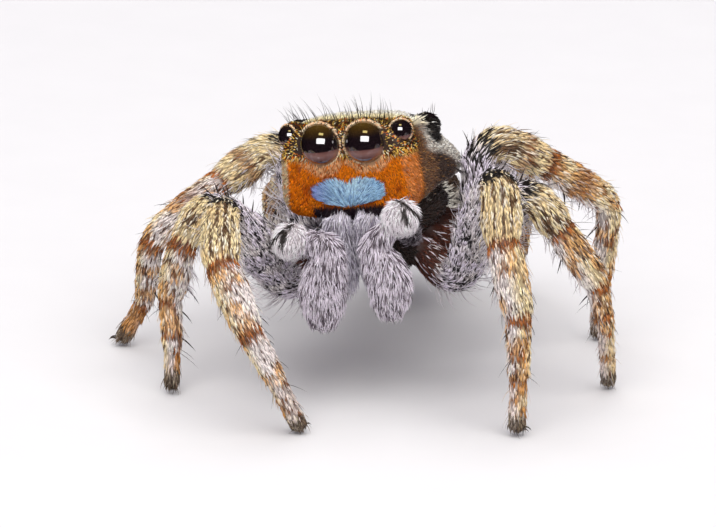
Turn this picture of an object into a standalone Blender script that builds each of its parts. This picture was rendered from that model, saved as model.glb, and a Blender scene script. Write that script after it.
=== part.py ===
"""Jumping spider, life size, standing with its left side raised a little.

The spider faces -Y and its own left side is +X.  All sizes below are in
millimetres.  Each mesh is made in millimetres and brought to metres at the end.
Every solid reaches out to the tips of the hair that covers it.
"""
import math

import bpy
import bmesh
from mathutils import Matrix, Vector

# ---------------------------------------------------------------- sizes, mm
METRES = 0.001
EYE_LEVEL = 3.38          # floor to the middle of the two big front eyes
BODY_ROLL = 8.0           # degrees, left side up
GAP = 0.03                # clearance where two solids meet
SOCKET_GAP = 0.015        # clearance of an eye in its socket

LEG_SIDES = 10            # facets around a leg
BODY_SIDES = 24           # facets around the head shell and the abdomen

# length of each leg link: femur, patella, tibia, metatarsus
LINK_LENGTHS = {
    1: (2.165, 0.87, 0.98, 0.82),
    2: (1.80, 0.63, 0.92, 0.68),
    3: (1.65, 1.00, 1.32, 1.02),
    4: (1.50, 0.75, 1.00, 0.85),
}
# heading and rise, in degrees, of femur, patella, tibia, metatarsus, tarsus
LEG_POSES = {
    (1, "left"): ((-46.5, 57), (-68, -66), (-42, -66), (88, -87), (152, -88)),
    (1, "right"): ((-106.5, 44), (-71, -38), (-42, -44), (29, -63), (57, -62)),
    (2, "left"): ((-41, 43), (31, -55), (22, -56), (64, -73), (100, -62)),
    (2, "right"): ((-127, 35), (-103, -28), (145, -70), (-60, -80), (-75, -77)),
    (3, "left"): ((-87, 78), (41, -27), (50, -34), (123, -78), (119, -72)),
    (3, "right"): ((137, 55), (-140, -30), (-125, -26), (126, -71), (-175, -60)),
    (4, "left"): ((90, 45), (88, -42), (102, -47), (113, -65), (137, -75)),
    (4, "right"): ((135, 42), (131, -40), (127, -36), (89, -72), (7, -78)),
}
# where each coxa leaves the breastplate and where it ends, beside the midline,
# behind the front eyes and below eye level
COXA_ROOTS = {1: (0.50, 0.74, -1.52), 2: (0.54, 1.24, -1.54),
              3: (0.52, 1.74, -1.56), 4: (0.44, 2.20, -1.60)}
COXA_ENDS = {1: (1.15, 0.50, -2.03), 2: (1.20, 1.15, -1.85),
             3: (1.15, 1.75, -1.90), 4: (0.95, 2.30, -1.95)}
# half thickness along a leg: 0 coxa root, 1 coxa end, 2 knee, 3 end of patella,
# 4 end of tibia, 5 end of metatarsus, 6 sole
LEG_GIRTH = ((0.0, 0.19), (0.5, 0.22), (1.0, 0.25), (1.5, 0.32), (1.85, 0.26),
             (2.0, 0.25), (2.5, 0.28), (3.0, 0.24), (3.5, 0.25), (4.0, 0.225),
             (4.5, 0.235), (5.0, 0.22), (5.6, 0.22), (6.0, 0.21))
LEG_GIRTH_SCALE = {1: 1.0, 2: 0.98, 3: 0.98, 4: 0.96}
BEND_RADII = (0.31, 0.29, 0.45, 0.40, 0.35)   # coxa end, knee, then downwards

# head shell stations: distance behind the eyes, half width, top, underside,
# squareness of the section and how much it widens downwards
SHELL_STATIONS = (
    (0.00, 0.80, 0.19, -0.92, 4.4, 0.12),
    (0.08, 0.88, 0.25, -0.99, 4.6, 0.12),
    (0.38, 0.95, 0.29, -1.03, 4.0, 0.09),
    (0.80, 1.02, 0.27, -1.06, 3.3, 0.04),
    (1.02, 1.06, 0.20, -1.08, 2.8, 0.02),
    (1.26, 1.10, 0.02, -1.10, 2.3, 0.0),
    (1.67, 1.06, -0.24, -1.14, 2.2, 0.0),
    (1.95, 0.96, -0.45, -1.16, 2.1, 0.0),
    (2.25, 0.78, -0.66, -1.19, 2.0, 0.0),
    (2.52, 0.60, -0.84, -1.21, 2.1, 0.0),
    (2.76, 0.38, -1.00, -1.24, 2.2, 0.0),
)

# eyes: beside midline, behind the front, above eye level, radius
FRONT_EYE = (0.300, 0.110, 0.0, 0.280)
SIDE_EYE = (0.755, 0.215, 0.10, 0.150)
SMALL_EYE = (0.900, 0.640, 0.10, 0.060)
REAR_EYE = (0.890, 0.940, 0.020, 0.130)

ABDOMEN_START = 3.10
ABDOMEN_LENGTH = 2.35
ABDOMEN_HALF_WIDTH = 0.80
ABDOMEN_HALF_HEIGHT = 0.68
ABDOMEN_HEIGHT_FRONT = 1.78    # floor to the axis at the front end
ABDOMEN_HEIGHT_REAR = 1.15
ABDOMEN_SHIFT_FRONT = -0.10    # the abdomen swings out to the right
ABDOMEN_SHIFT_REAR = -0.75

JAW_HALF_WIDTH = 0.215
JAW_LENGTH = 0.92
JAW_TOP = -1.07

# palps in floor coordinates: root, knee, top, middle and tip of the bulb
PALPS = {
    "left": {"root": (0.80, 0.42, 2.12), "knee": (0.98, -0.55, 2.66), "top": (0.60, -0.56, 2.26),
             "middle": (0.82, -0.52, 1.80), "tip": (0.84, -0.50, 1.30)},
    "right": {"root": (-0.52, 0.40, 1.98), "knee": (-0.50, -0.55, 2.21), "top": (0.02, -0.56, 2.20),
              "middle": (-0.07, -0.52, 1.58), "tip": (-0.08, -0.50, 1.07)},
}
PALP_FEMUR_RADIUS = 0.17
PALP_KNEE_RADIUS = 0.27
PALP_BULB_RADIUS = 0.32

COLOURS = {
    "head": (0.30, 0.17, 0.06), "breast": (0.10, 0.07, 0.05), "abdomen": (0.26, 0.20, 0.14),
    "leg": (0.55, 0.42, 0.28), "femur": (0.42, 0.40, 0.46), "eye": (0.01, 0.01, 0.012),
    "jaw": (0.62, 0.60, 0.66), "palp": (0.70, 0.68, 0.70),
}


# ------------------------------------------------------------------ helpers
def clear_scene():
    """Remove every object of the open file."""
    for item in list(bpy.data.objects):
        bpy.data.objects.remove(item, do_unlink=True)


def make_material(name, tone, roughness):
    """Return one Principled material."""
    material = bpy.data.materials.new(name)
    material.use_nodes = True
    shader = material.node_tree.nodes["Principled BSDF"]
    shader.inputs["Base Color"].default_value = (*tone, 1.0)
    shader.inputs["Roughness"].default_value = roughness
    material.diffuse_color = (*tone, 1.0)
    return material


def lean(point):
    """Body point (beside, behind, above the front eyes) to floor coordinates."""
    turn = Matrix.Rotation(-math.radians(BODY_ROLL), 3, "Y")
    return turn @ Vector(point) + Vector((0.0, 0.0, EYE_LEVEL))


def skin_rings(rings, start_pole, end_pole):
    """Close a row of equal rings with a pole at each end and return a bmesh."""
    mesh = bmesh.new()
    rows = []
    for ring in rings:
        rows.append([mesh.verts.new(point) for point in ring])
    count = len(rings[0])
    for near, far in zip(rows, rows[1:]):
        for i in range(count):
            j = (i + 1) % count
            mesh.faces.new((near[i], near[j], far[j], far[i]))
    first = mesh.verts.new(start_pole)
    last = mesh.verts.new(end_pole)
    for i in range(count):
        j = (i + 1) % count
        mesh.faces.new((first, rows[0][j], rows[0][i]))
        mesh.faces.new((last, rows[-1][i], rows[-1][j]))
    bmesh.ops.recalc_face_normals(mesh, faces=mesh.faces)
    return mesh


def add_object(name, mesh, tone, roughness=0.6):
    """Turn a bmesh into a named object with its own material."""
    bmesh.ops.triangulate(mesh, faces=mesh.faces)
    data = bpy.data.meshes.new(name)
    mesh.to_mesh(data)
    mesh.free()
    item = bpy.data.objects.new(name, data)
    bpy.context.scene.collection.objects.link(item)
    data.shade_smooth()
    data.set_sharp_from_angle(angle=math.radians(50))
    data.materials.append(make_material(name + "_material", COLOURS[tone], roughness))
    return item


def direction(heading, rise):
    """Unit vector from a heading and a rise in degrees."""
    turn = math.radians(heading)
    lift = math.radians(rise)
    return Vector((math.cos(lift) * math.cos(turn), math.cos(lift) * math.sin(turn), math.sin(lift)))


def blend(table, position):
    """Read a table of (position, value) pairs with straight lines between them."""
    for (low, first), (high, second) in zip(table, table[1:]):
        if position <= high:
            share = (position - low) / (high - low)
            return first + (second - first) * share
    return table[-1][1]


def round_corner(before, corner, after, radius, steps):
    """Points of an arc that rounds a corner, from its start to its end."""
    inward = (corner - before).normalized()
    outward = (after - corner).normalized()
    turn = inward.angle(outward)
    if turn < 0.02:
        return [corner.copy() for _ in range(steps + 1)]
    reach = radius * math.tan(turn / 2)
    limit = 0.46 * min((corner - before).length, (after - corner).length)
    if reach > limit:
        reach = limit
        radius = reach / math.tan(turn / 2)
    side = (outward - inward * inward.dot(outward)).normalized()
    start = corner - inward * reach
    points = []
    for k in range(steps + 1):
        angle = turn * k / steps
        points.append(start + inward * radius * math.sin(angle) + side * radius * (1 - math.cos(angle)))
    return points


def leg_path(corners):
    """Centre line of a leg: list of (station, point), stations as in LEG_GIRTH."""
    path = [(0.0, corners[0]), (0.5, corners[0].lerp(corners[1], 0.5))]
    for k in range(1, len(corners) - 1):
        steps = 4 if k == 2 else 2
        arc = round_corner(corners[k - 1], corners[k], corners[k + 1], BEND_RADII[k - 1], steps)
        spread = 0.17 if k == 2 else 0.12
        for number, point in enumerate(arc):
            path.append((k - spread + 2 * spread * number / steps, point))
        middle = arc[-1].lerp(corners[k + 1], 0.5)
        if k in (1, 2, 3, 4):
            path.append((k + 0.5, middle))
    path.append((6.0, corners[-1]))
    return path


def carried_frames(points):
    """Side and up vectors carried along a centre line without twist."""
    tangents = []
    for k in range(len(points)):
        ahead = points[min(k + 1, len(points) - 1)]
        behind = points[max(k - 1, 0)]
        tangents.append((ahead - behind).normalized())
    side = tangents[0].cross(Vector((0.0, 0.0, 1.0))).normalized()
    frames = []
    for tangent in tangents:
        side = (side - tangent * side.dot(tangent)).normalized()
        frames.append((tangent, side, tangent.cross(side)))
    return frames


def tube_ring(centre, side, up, radius, count):
    """One ring of points around a centre."""
    ring = []
    for i in range(count):
        angle = 2 * math.pi * i / count
        ring.append(centre + side * radius * math.cos(angle) + up * radius * math.sin(angle))
    return ring


# ---------------------------------------------------------------- the legs
def leg_corners(number, side):
    """Corner points of one leg from its coxa root to the floor."""
    sign = 1 if side == "left" else -1
    root = COXA_ROOTS[number]
    end = COXA_ENDS[number]
    corners = [lean((sign * root[0], root[1], root[2])), lean((sign * end[0], end[1], end[2]))]
    pose = LEG_POSES[(number, side)]
    for length, (heading, rise) in zip(LINK_LENGTHS[number], pose):
        corners.append(corners[-1] + direction(heading, rise) * length)
    last = direction(*pose[4])
    corners.append(corners[-1] + last * (corners[-1].z / -last.z))
    return corners


def build_leg(number, side):
    """Four solids of one leg, cut at the knee and at both ends of the tibia."""
    path = leg_path(leg_corners(number, side))
    frames = carried_frames([point for _, point in path])
    scale = LEG_GIRTH_SCALE[number]
    cuts = {2.0: "femur", 3.0: "patella", 4.0: "tibia"}
    rings = []
    name = "femur"
    start_pole = None
    for (station, point), (tangent, across, up) in zip(path, frames):
        radius = scale * blend(LEG_GIRTH, station)
        if station == 6.0:
            # the sole: a level ring on the floor
            flat_side = Vector((across.x, across.y, 0.0)).normalized()
            flat_up = Vector((0.0, 0.0, -1.0)).cross(flat_side)
            rings.append(tube_ring(point, flat_side, flat_up, radius, LEG_SIDES))
            finish_leg_part(number, side, "foot", rings, start_pole, point)
            return
        if start_pole is None:
            start_pole = point - tangent * 0.03
        key = round(station, 3)
        if key in cuts:
            near = point - tangent * (GAP / 2)
            far = point + tangent * (GAP / 2)
            rings.append(tube_ring(near, across, up, radius, LEG_SIDES))
            finish_leg_part(number, side, cuts[key], rings, start_pole, near)
            rings = [tube_ring(far, across, up, radius, LEG_SIDES)]
            start_pole = far
        elif station > 5.1 and point.z < radius:
            continue
        else:
            rings.append(tube_ring(point, across, up, radius, LEG_SIDES))


def finish_leg_part(number, side, part, rings, start_pole, end_pole):
    """Make one leg solid; no point may lie under the floor."""
    for ring in rings:
        for point in ring:
            point.z = max(point.z, 0.0)
    mesh = skin_rings(rings, start_pole, end_pole)
    tone = "femur" if part == "femur" else "leg"
    add_object("leg{}_{}_{}".format(number, side, part), mesh, tone)


# ---------------------------------------------------------------- the body
def section(half_width, top, bottom, squareness, flare, behind):
    """One cross-section of the head shell as body points."""
    middle = (top + bottom) / 2
    half = (top - bottom) / 2
    power = 2.0 / squareness
    ring = []
    for i in range(BODY_SIDES):
        angle = 2 * math.pi * (i + 0.5) / BODY_SIDES
        across = math.copysign(abs(math.cos(angle)) ** power, math.cos(angle))
        above = math.copysign(abs(math.sin(angle)) ** power, math.sin(angle))
        height = middle + half * above
        spread = 1.0 + flare * max(0.0, -height)
        ring.append(Vector((half_width * across * spread, behind, height)))
    return ring


def ball(centre, radius, columns, rows):
    """Closed ball with its poles front and back, as a bmesh in floor coordinates."""
    rings = []
    for k in range(1, rows):
        angle = math.pi * k / rows
        ring = []
        for i in range(columns):
            turn = 2 * math.pi * i / columns
            offset = Vector((math.sin(angle) * math.cos(turn), -math.cos(angle),
                             math.sin(angle) * math.sin(turn)))
            ring.append(lean(Vector(centre) + offset * radius))
        rings.append(ring)
    front = lean(Vector(centre) + Vector((0.0, -radius, 0.0)))
    back = lean(Vector(centre) + Vector((0.0, radius, 0.0)))
    return skin_rings(rings, front, back)


def build_shell(eyes):
    """Head shell with a socket cut for each eye."""
    rings = []
    for behind, half_width, top, bottom, squareness, flare in SHELL_STATIONS:
        rings.append([lean(p) for p in section(half_width, top, bottom, squareness, flare, behind)])
    front = lean((0.0, -0.03, -0.40))
    back = lean((0.0, 2.86, -1.13))
    shell = add_object("head_shell", skin_rings(rings, front, back), "head")
    for number, (centre, radius, columns, rows) in enumerate(eyes):
        mesh = ball(centre, radius + SOCKET_GAP, columns, rows)
        cutter = add_object("socket_cutter_{}".format(number), mesh, "eye")
        cutter.hide_render = True
        cutter.display_type = "WIRE"
        cut = shell.modifiers.new("socket_{}".format(number), "BOOLEAN")
        cut.operation = "DIFFERENCE"
        cut.solver = "EXACT"
        cut.object = cutter
    settle(shell)


def settle(item):
    """Apply an object's modifiers and remove their cutters."""
    graph = bpy.context.evaluated_depsgraph_get()
    result = bpy.data.meshes.new_from_object(item.evaluated_get(graph))
    cutters = [step.object for step in item.modifiers]
    item.modifiers.clear()
    old = item.data
    item.data = result
    bpy.data.meshes.remove(old)
    for cutter in cutters:
        bpy.data.objects.remove(cutter, do_unlink=True)


def build_eyes():
    """Eight eyes, and the shell they sit in."""
    kinds = (("front", FRONT_EYE, 16, 9), ("side", SIDE_EYE, 14, 8),
             ("small", SMALL_EYE, 8, 5), ("rear", REAR_EYE, 12, 7))
    sockets = []
    for kind, (beside, behind, above, radius), columns, rows in kinds:
        for side, sign in (("left", 1), ("right", -1)):
            centre = (sign * beside, behind, above)
            mesh = ball(centre, radius, columns, rows)
            add_object("eye_{}_{}".format(kind, side), mesh, "eye", 0.08)
            sockets.append((centre, radius, columns, rows))
    build_shell(sockets)


def oval_loft(name, centres, radii, tone, columns=12, start=None, end=None):
    """Closed rounded body through level or upright ovals along a centre line."""
    frames = carried_frames(centres)
    rings = []
    for centre, (tangent, across, up), radius in zip(centres, frames, radii):
        rings.append(tube_ring(centre, across, up, radius, columns))
    first = start or centres[0] - frames[0][0] * radii[0] * 0.45
    last = end or centres[-1] + frames[-1][0] * radii[-1] * 0.45
    return add_object(name, skin_rings(rings, first, last), tone)


def build_breastplate():
    """Flat oval plate between the leg roots."""
    rings = []
    for k in range(1, 8):
        share = k / 8
        width = 0.30 * math.sin(math.pi * share) ** 0.6
        depth = 0.24 * math.sin(math.pi * share) ** 0.5
        behind = 0.62 + 1.72 * share
        ring = []
        for i in range(12):
            turn = 2 * math.pi * i / 12
            ring.append(lean((width * math.cos(turn), behind, -1.58 + depth * math.sin(turn))))
        rings.append(ring)
    mesh = skin_rings(rings, lean((0.0, 0.62, -1.58)), lean((0.0, 2.34, -1.58)))
    add_object("breastplate", mesh, "breast")


def build_abdomen():
    """Egg-shaped abdomen, its waist and its spinnerets."""
    rings = []
    rows = 12
    for k in range(1, rows):
        share = k / rows
        swell = math.sin(math.pi * share ** 0.80) ** 0.78
        drop = ABDOMEN_HEIGHT_FRONT + (ABDOMEN_HEIGHT_REAR - ABDOMEN_HEIGHT_FRONT) * share
        shift = ABDOMEN_SHIFT_FRONT + (ABDOMEN_SHIFT_REAR - ABDOMEN_SHIFT_FRONT) * share
        behind = ABDOMEN_START + ABDOMEN_LENGTH * (1 - math.cos(math.pi * share)) / 2
        ring = []
        for i in range(BODY_SIDES):
            turn = 2 * math.pi * i / BODY_SIDES
            ring.append(Vector((shift + ABDOMEN_HALF_WIDTH * swell * math.cos(turn), behind,
                                drop + ABDOMEN_HALF_HEIGHT * swell * math.sin(turn))))
        rings.append(ring)
    rear = ABDOMEN_START + ABDOMEN_LENGTH
    front_pole = Vector((ABDOMEN_SHIFT_FRONT, ABDOMEN_START, ABDOMEN_HEIGHT_FRONT))
    rear_pole = Vector((ABDOMEN_SHIFT_REAR, rear, ABDOMEN_HEIGHT_REAR))
    add_object("abdomen", skin_rings(rings, front_pole, rear_pole), "abdomen")

    waist_start = lean((0.0, 2.86, -1.13)) + Vector((0.0, GAP, 0.0))
    waist_end = front_pole - Vector((0.0, GAP, 0.0))
    oval_loft("waist", [waist_start.lerp(waist_end, s) for s in (0.0, 0.25, 0.75, 1.0)],
              (0.10, 0.14, 0.14, 0.10), "breast", 10, waist_start, waist_end)

    tip = rear_pole + Vector((0.0, GAP, 0.0))
    reach = (0.0, 0.06, 0.14, 0.20)
    oval_loft("spinnerets", [tip + Vector((0.0, step, -0.10 * step)) for step in reach],
              (0.16, 0.19, 0.15, 0.08), "breast", 10, tip)


def build_jaws():
    """Two jaws hanging under the face."""
    for side, sign in (("left", 1), ("right", -1)):
        rings = []
        for share, girth in ((0.0, 0.72), (0.12, 0.94), (0.4, 1.0), (0.75, 0.92), (0.93, 0.66)):
            centre = Vector((sign * 0.235, 0.12 - 0.04 * share, JAW_TOP - JAW_LENGTH * share))
            ring = []
            for i in range(12):
                turn = 2 * math.pi * i / 12
                ring.append(lean(centre + Vector((JAW_HALF_WIDTH * girth * math.cos(turn),
                                                  0.24 * girth * math.sin(turn), 0.0))))
            rings.append(ring)
        top = lean((sign * 0.235, 0.12, JAW_TOP + 0.02))
        low = lean((sign * 0.235, 0.08, JAW_TOP - JAW_LENGTH))
        add_object("jaw_" + side, skin_rings(rings, top, low), "jaw")


def build_palp(side):
    """Three solids of one palp: femur, round knee, hanging bulb."""
    place = {key: Vector(value) for key, value in PALPS[side].items()}
    aim = (place["knee"] - place["root"]).normalized()
    stop = place["knee"] - aim * (PALP_KNEE_RADIUS + GAP)
    points = [place["root"].lerp(stop, s) for s in (0.0, 0.35, 0.7, 1.0)]
    widths = (0.80, 1.0, 1.0, 0.55)
    oval_loft("palp_{}_femur".format(side), points, [PALP_FEMUR_RADIUS * w for w in widths],
              "palp", 10, None, stop)

    knee = place["knee"]
    rings = []
    for k in range(1, 8):
        angle = math.pi * k / 8
        centre = knee + Vector((0.0, 0.0, PALP_KNEE_RADIUS * math.cos(angle)))
        rings.append(tube_ring(centre, Vector((1, 0, 0)), Vector((0, 1, 0)),
                               PALP_KNEE_RADIUS * math.sin(angle), 12))
    mesh = skin_rings(rings, knee + Vector((0, 0, PALP_KNEE_RADIUS)), knee - Vector((0, 0, PALP_KNEE_RADIUS)))
    add_object("palp_{}_knee".format(side), mesh, "palp")

    line = [place["top"], place["top"].lerp(place["middle"], 0.35), place["middle"],
            place["middle"].lerp(place["tip"], 0.45), place["middle"].lerp(place["tip"], 0.8),
            place["middle"].lerp(place["tip"], 0.97)]
    widths = (0.40, 0.74, 1.0, 0.90, 0.58, 0.24)
    oval_loft("palp_{}_bulb".format(side), line, [PALP_BULB_RADIUS * w for w in widths],
              "palp", 12, None, place["tip"])


def to_metres_and_centre():
    """Bring every mesh to metres with the origin under the middle of the spider."""
    corners = [v.co.copy() for item in bpy.data.objects for v in item.data.vertices]
    low = [min(p[axis] for p in corners) for axis in (0, 1)]
    high = [max(p[axis] for p in corners) for axis in (0, 1)]
    shift = Matrix.Translation((-(low[0] + high[0]) / 2, -(low[1] + high[1]) / 2, 0.0))
    for item in bpy.data.objects:
        item.data.transform(shift)
        item.data.transform(Matrix.Scale(METRES, 4))
        item.data.update()


clear_scene()
build_eyes()
build_breastplate()
build_abdomen()
build_jaws()
for palp_side in ("left", "right"):
    build_palp(palp_side)
for leg_number in LINK_LENGTHS:
    for leg_side in ("left", "right"):
        build_leg(leg_number, leg_side)
to_metres_and_centre()
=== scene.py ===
"""Jumping spider, life size: one skin, eight eyes and a coat of solid hairs.

Shapes are worked out in millimetres in the spider's stance: x to its left, y behind
its front eyes, z above the floor.  to_frame() brings them to the model's frame.
"""
import math

import bpy
import numpy as np
from mathutils import Matrix, Vector
from mathutils.kdtree import KDTree


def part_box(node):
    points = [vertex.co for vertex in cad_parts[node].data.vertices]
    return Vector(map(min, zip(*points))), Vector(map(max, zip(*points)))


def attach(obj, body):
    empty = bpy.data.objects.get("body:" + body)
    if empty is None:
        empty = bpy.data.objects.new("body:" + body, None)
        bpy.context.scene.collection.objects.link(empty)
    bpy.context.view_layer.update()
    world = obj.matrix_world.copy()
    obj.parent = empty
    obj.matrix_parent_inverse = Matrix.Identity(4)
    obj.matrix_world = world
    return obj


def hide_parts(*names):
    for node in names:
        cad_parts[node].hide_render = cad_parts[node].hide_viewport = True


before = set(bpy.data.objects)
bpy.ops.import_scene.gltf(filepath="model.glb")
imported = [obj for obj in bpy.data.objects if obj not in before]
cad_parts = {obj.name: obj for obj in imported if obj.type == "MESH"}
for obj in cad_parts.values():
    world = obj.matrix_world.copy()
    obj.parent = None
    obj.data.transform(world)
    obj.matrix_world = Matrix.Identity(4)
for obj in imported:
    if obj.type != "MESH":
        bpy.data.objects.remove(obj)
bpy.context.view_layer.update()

# ---------------------------------------------------------------- stance
# The spider stands with its left side a little higher. Body points are given
# beside the midline, behind the front eyes and above them.
MM = 0.001
EYE_LEVEL = 3.38
BODY_ROLL = math.radians(8.0)
FRONT_EYE = (0.300, 0.110, 0.0)


def lean(points):
    """Body points to stance points."""
    x, y, z = np.moveaxis(np.asarray(points, float), -1, 0)
    return np.stack([x * math.cos(BODY_ROLL) - z * math.sin(BODY_ROLL), y,
                     EYE_LEVEL + x * math.sin(BODY_ROLL) + z * math.cos(BODY_ROLL)], -1)


eye_low, eye_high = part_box("eye_front_left")
stance_shift = (np.array(eye_low) + np.array(eye_high)) / (2 * MM) - lean(FRONT_EYE)


def to_frame(points):
    """Stance millimetres to the frame's metres."""
    return (np.asarray(points, float) + stance_shift) * MM


# ---------------------------------------------------------------- camera
# Close view from the front, a little to the spider's left and above, with a
# long lens, so that the eyes sit left of the middle and high in the frame.
AZIMUTH = math.radians(18.0)
ELEVATION = math.radians(16.0)
CAMERA_DISTANCE = 80.0
VIEW_WIDTH = 716 / 78.0
SENSOR = 36.0
view_right = np.array([math.cos(AZIMUTH), math.sin(AZIMUTH), 0.0])
view_ahead = np.array([-math.sin(AZIMUTH) * math.cos(ELEVATION),
                       math.cos(AZIMUTH) * math.cos(ELEVATION), -math.sin(ELEVATION)])
view_above = np.cross(view_right, view_ahead)
eye_middle = np.array([0.0, 0.0, EYE_LEVEL])
look_at = eye_middle + 0.218 * view_right - 1.519 * view_above

camera_data = bpy.data.cameras.new("camera")
camera_data.lens = SENSOR * CAMERA_DISTANCE / VIEW_WIDTH
camera_data.sensor_width = SENSOR
camera_data.clip_start = 0.001
camera_data.clip_end = 10.0
camera = bpy.data.objects.new("camera", camera_data)
bpy.context.scene.collection.objects.link(camera)
camera_place = Vector(to_frame(eye_middle - view_ahead * CAMERA_DISTANCE))
camera.location = camera_place
camera.rotation_euler = (Vector(to_frame(look_at)) - camera_place).to_track_quat("-Z", "Y").to_euler()
bpy.context.scene.camera = camera

# ---------------------------------------------------------------- limbs
# Eight legs of hollow jointed shell. Each is one bent tube here: coxa, femur,
# patella, tibia, metatarsus and tarsus, thinner than its solid by the coat.
LINK_LENGTHS = {1: (2.165, 0.87, 0.98, 0.82), 2: (1.80, 0.63, 0.92, 0.68),
                3: (1.65, 1.00, 1.32, 1.02), 4: (1.50, 0.75, 1.00, 0.85)}
LEG_POSES = {
    (1, 1): ((-46.5, 57), (-68, -66), (-42, -66), (88, -87), (152, -88)),
    (1, -1): ((-106.5, 44), (-71, -38), (-42, -44), (29, -63), (57, -62)),
    (2, 1): ((-41, 43), (31, -55), (22, -56), (64, -73), (100, -62)),
    (2, -1): ((-127, 35), (-103, -28), (145, -70), (-60, -80), (-75, -77)),
    (3, 1): ((-87, 78), (41, -27), (50, -34), (123, -78), (119, -72)),
    (3, -1): ((137, 55), (-140, -30), (-125, -26), (126, -71), (-175, -60)),
    (4, 1): ((90, 45), (88, -42), (102, -47), (113, -65), (137, -75)),
    (4, -1): ((135, 42), (131, -40), (127, -36), (89, -72), (7, -78)),
}
COXA_ROOTS = {1: (0.50, 0.74, -1.52), 2: (0.54, 1.24, -1.54), 3: (0.52, 1.74, -1.56), 4: (0.44, 2.20, -1.60)}
COXA_ENDS = {1: (1.15, 0.50, -2.03), 2: (1.20, 1.15, -1.85), 3: (1.15, 1.75, -1.90), 4: (0.95, 2.30, -1.95)}
BEND_RADII = (0.31, 0.29, 0.45, 0.40, 0.35)
# stations: 0 coxa root, 1 coxa end, 2 knee, 3 patella end, 4 tibia end, 5 metatarsus end, 6 sole
SKIN_STATIONS = (0.0, 0.5, 0.9, 1.1, 1.5, 1.8, 1.95, 2.1, 2.5, 2.85, 3.0, 3.15, 3.5, 3.85, 4.0, 4.15, 4.6,
                 4.9, 5.0, 5.1, 5.5, 5.85, 6.0)
SKIN_GIRTH = (0.17, 0.21, 0.225, 0.225, 0.280, 0.245, 0.225, 0.235, 0.255, 0.232, 0.200, 0.205, 0.218, 0.200,
              0.168, 0.160, 0.146, 0.128, 0.120, 0.115, 0.108, 0.104, 0.098)
LEG_SCALE = {1: 1.0, 2: 0.90, 3: 0.97, 4: 0.92}
RING_POINTS = 24
LEG_COUNT = 8

ring_lists = []     # closed forms that the skin is made from
marks = []          # where each bit of surface is: part, station, angle and frame


def unit(vectors):
    """Vectors brought to length one."""
    return vectors / np.maximum(np.linalg.norm(vectors, axis=-1, keepdims=True), 1e-9)


def heading_vector(heading, rise):
    """Unit vector from a heading and a rise in degrees."""
    turn, lift = math.radians(heading), math.radians(rise)
    return np.array([math.cos(lift) * math.cos(turn), math.cos(lift) * math.sin(turn), math.sin(lift)])


def rounded_line(corners, radii, spacing=0.045):
    """Stations and points along corners whose bends are rounded."""
    stations, points = [0.0], [corners[0]]
    for k in range(1, len(corners) - 1):
        inward, outward = unit(corners[k] - corners[k - 1]), unit(corners[k + 1] - corners[k])
        turn = math.acos(max(-1.0, min(1.0, float(inward @ outward))))
        if turn < 0.02:
            stations.append(float(k))
            points.append(corners[k])
            continue
        limit = 0.46 * min(np.linalg.norm(corners[k] - corners[k - 1]), np.linalg.norm(corners[k + 1]
                                                                                       - corners[k]))
        reach = min(radii[k - 1] * math.tan(turn / 2), limit)
        radius = reach / math.tan(turn / 2)
        side = unit(outward - inward * float(inward @ outward))
        for share in np.linspace(0, 1, 9):
            angle = turn * share
            stations.append(k - 0.15 + 0.30 * share)
            points.append(corners[k] - inward * reach + inward * radius * math.sin(angle)
                          + side * radius * (1 - math.cos(angle)))
    stations.append(float(len(corners) - 1))
    points.append(corners[-1])
    stations, points = np.array(stations), np.array(points)
    run = np.concatenate([[0], np.cumsum(np.linalg.norm(np.diff(points, axis=0), axis=1))])
    even = np.linspace(0, run[-1], int(run[-1] / spacing) + 2)
    return np.interp(even, run, stations), np.stack([np.interp(even, run, points[:, i]) for i in range(3)],
                                                    1), even


def carry(points, hint, start):
    """Tangent, side and back vectors along a line; back follows the hint at the start index."""
    tangent = unit(np.gradient(points, axis=0))
    side = np.zeros_like(points)
    side[0] = unit(np.cross(tangent[0], [0.12, 0.05, 1.0]))
    for k in range(1, len(points)):
        side[k] = unit(side[k - 1] - tangent[k] * float(side[k - 1] @ tangent[k]))
    back = np.cross(side, tangent)
    turn = math.atan2(float(hint @ back[start]), float(hint @ side[start])) - math.pi / 2
    new_side = side * math.cos(turn) + back * math.sin(turn)
    return tangent, new_side, np.cross(new_side, tangent)


def add_marks(part, rings, stations, lie, centres=None, sides=None, backs=None, run=None):
    """Keep the place, station, angle and lie of every point of some rings."""
    rows, count = rings.shape[:2]
    zero = np.zeros((rows, 3))
    still = np.zeros(rows)
    marks.append({
        "place": rings.reshape(-1, 3), "part": np.full(rows * count, part),
        "station": np.repeat(stations, count), "angle": np.tile(2 * np.pi * np.arange(count) / count, rows),
        "lie": unit(lie.reshape(-1, 3)),
        "centre": np.repeat(rings.mean(1) if centres is None else centres, count, axis=0),
        "side": np.repeat(zero if sides is None else sides, count, axis=0),
        "back": np.repeat(zero if backs is None else backs, count, axis=0),
        "run": np.repeat(still if run is None else run, count),
        "pace": np.repeat(still if run is None else np.gradient(stations, run), count)})


def add_form(part, rings, stations, lie=None, centres=None, sides=None, backs=None, run=None, close=0.4):
    """Keep a closed form for the skin and its surface marks."""
    middle = rings.mean(1)
    first = middle[0] + (middle[0] - middle[1]) * close
    last = middle[-1] + (middle[-1] - middle[-2]) * close
    ring_lists.append((rings, first, last))
    if lie is None:
        lie = np.gradient(middle, axis=0)[:, None, :].repeat(rings.shape[1], 1)
    add_marks(part, rings, stations, lie, centres, sides, backs, run)


def tube_rings(points, side, back, radius, count=RING_POINTS, flat=1.0):
    """Rings of points around a line."""
    angle = 2 * np.pi * np.arange(count) / count
    return (points[:, None, :] + side[:, None, :] * (radius[:, None] * np.cos(angle))[..., None]
            + back[:, None, :] * (radius[:, None] * flat * np.sin(angle))[..., None])


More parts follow.
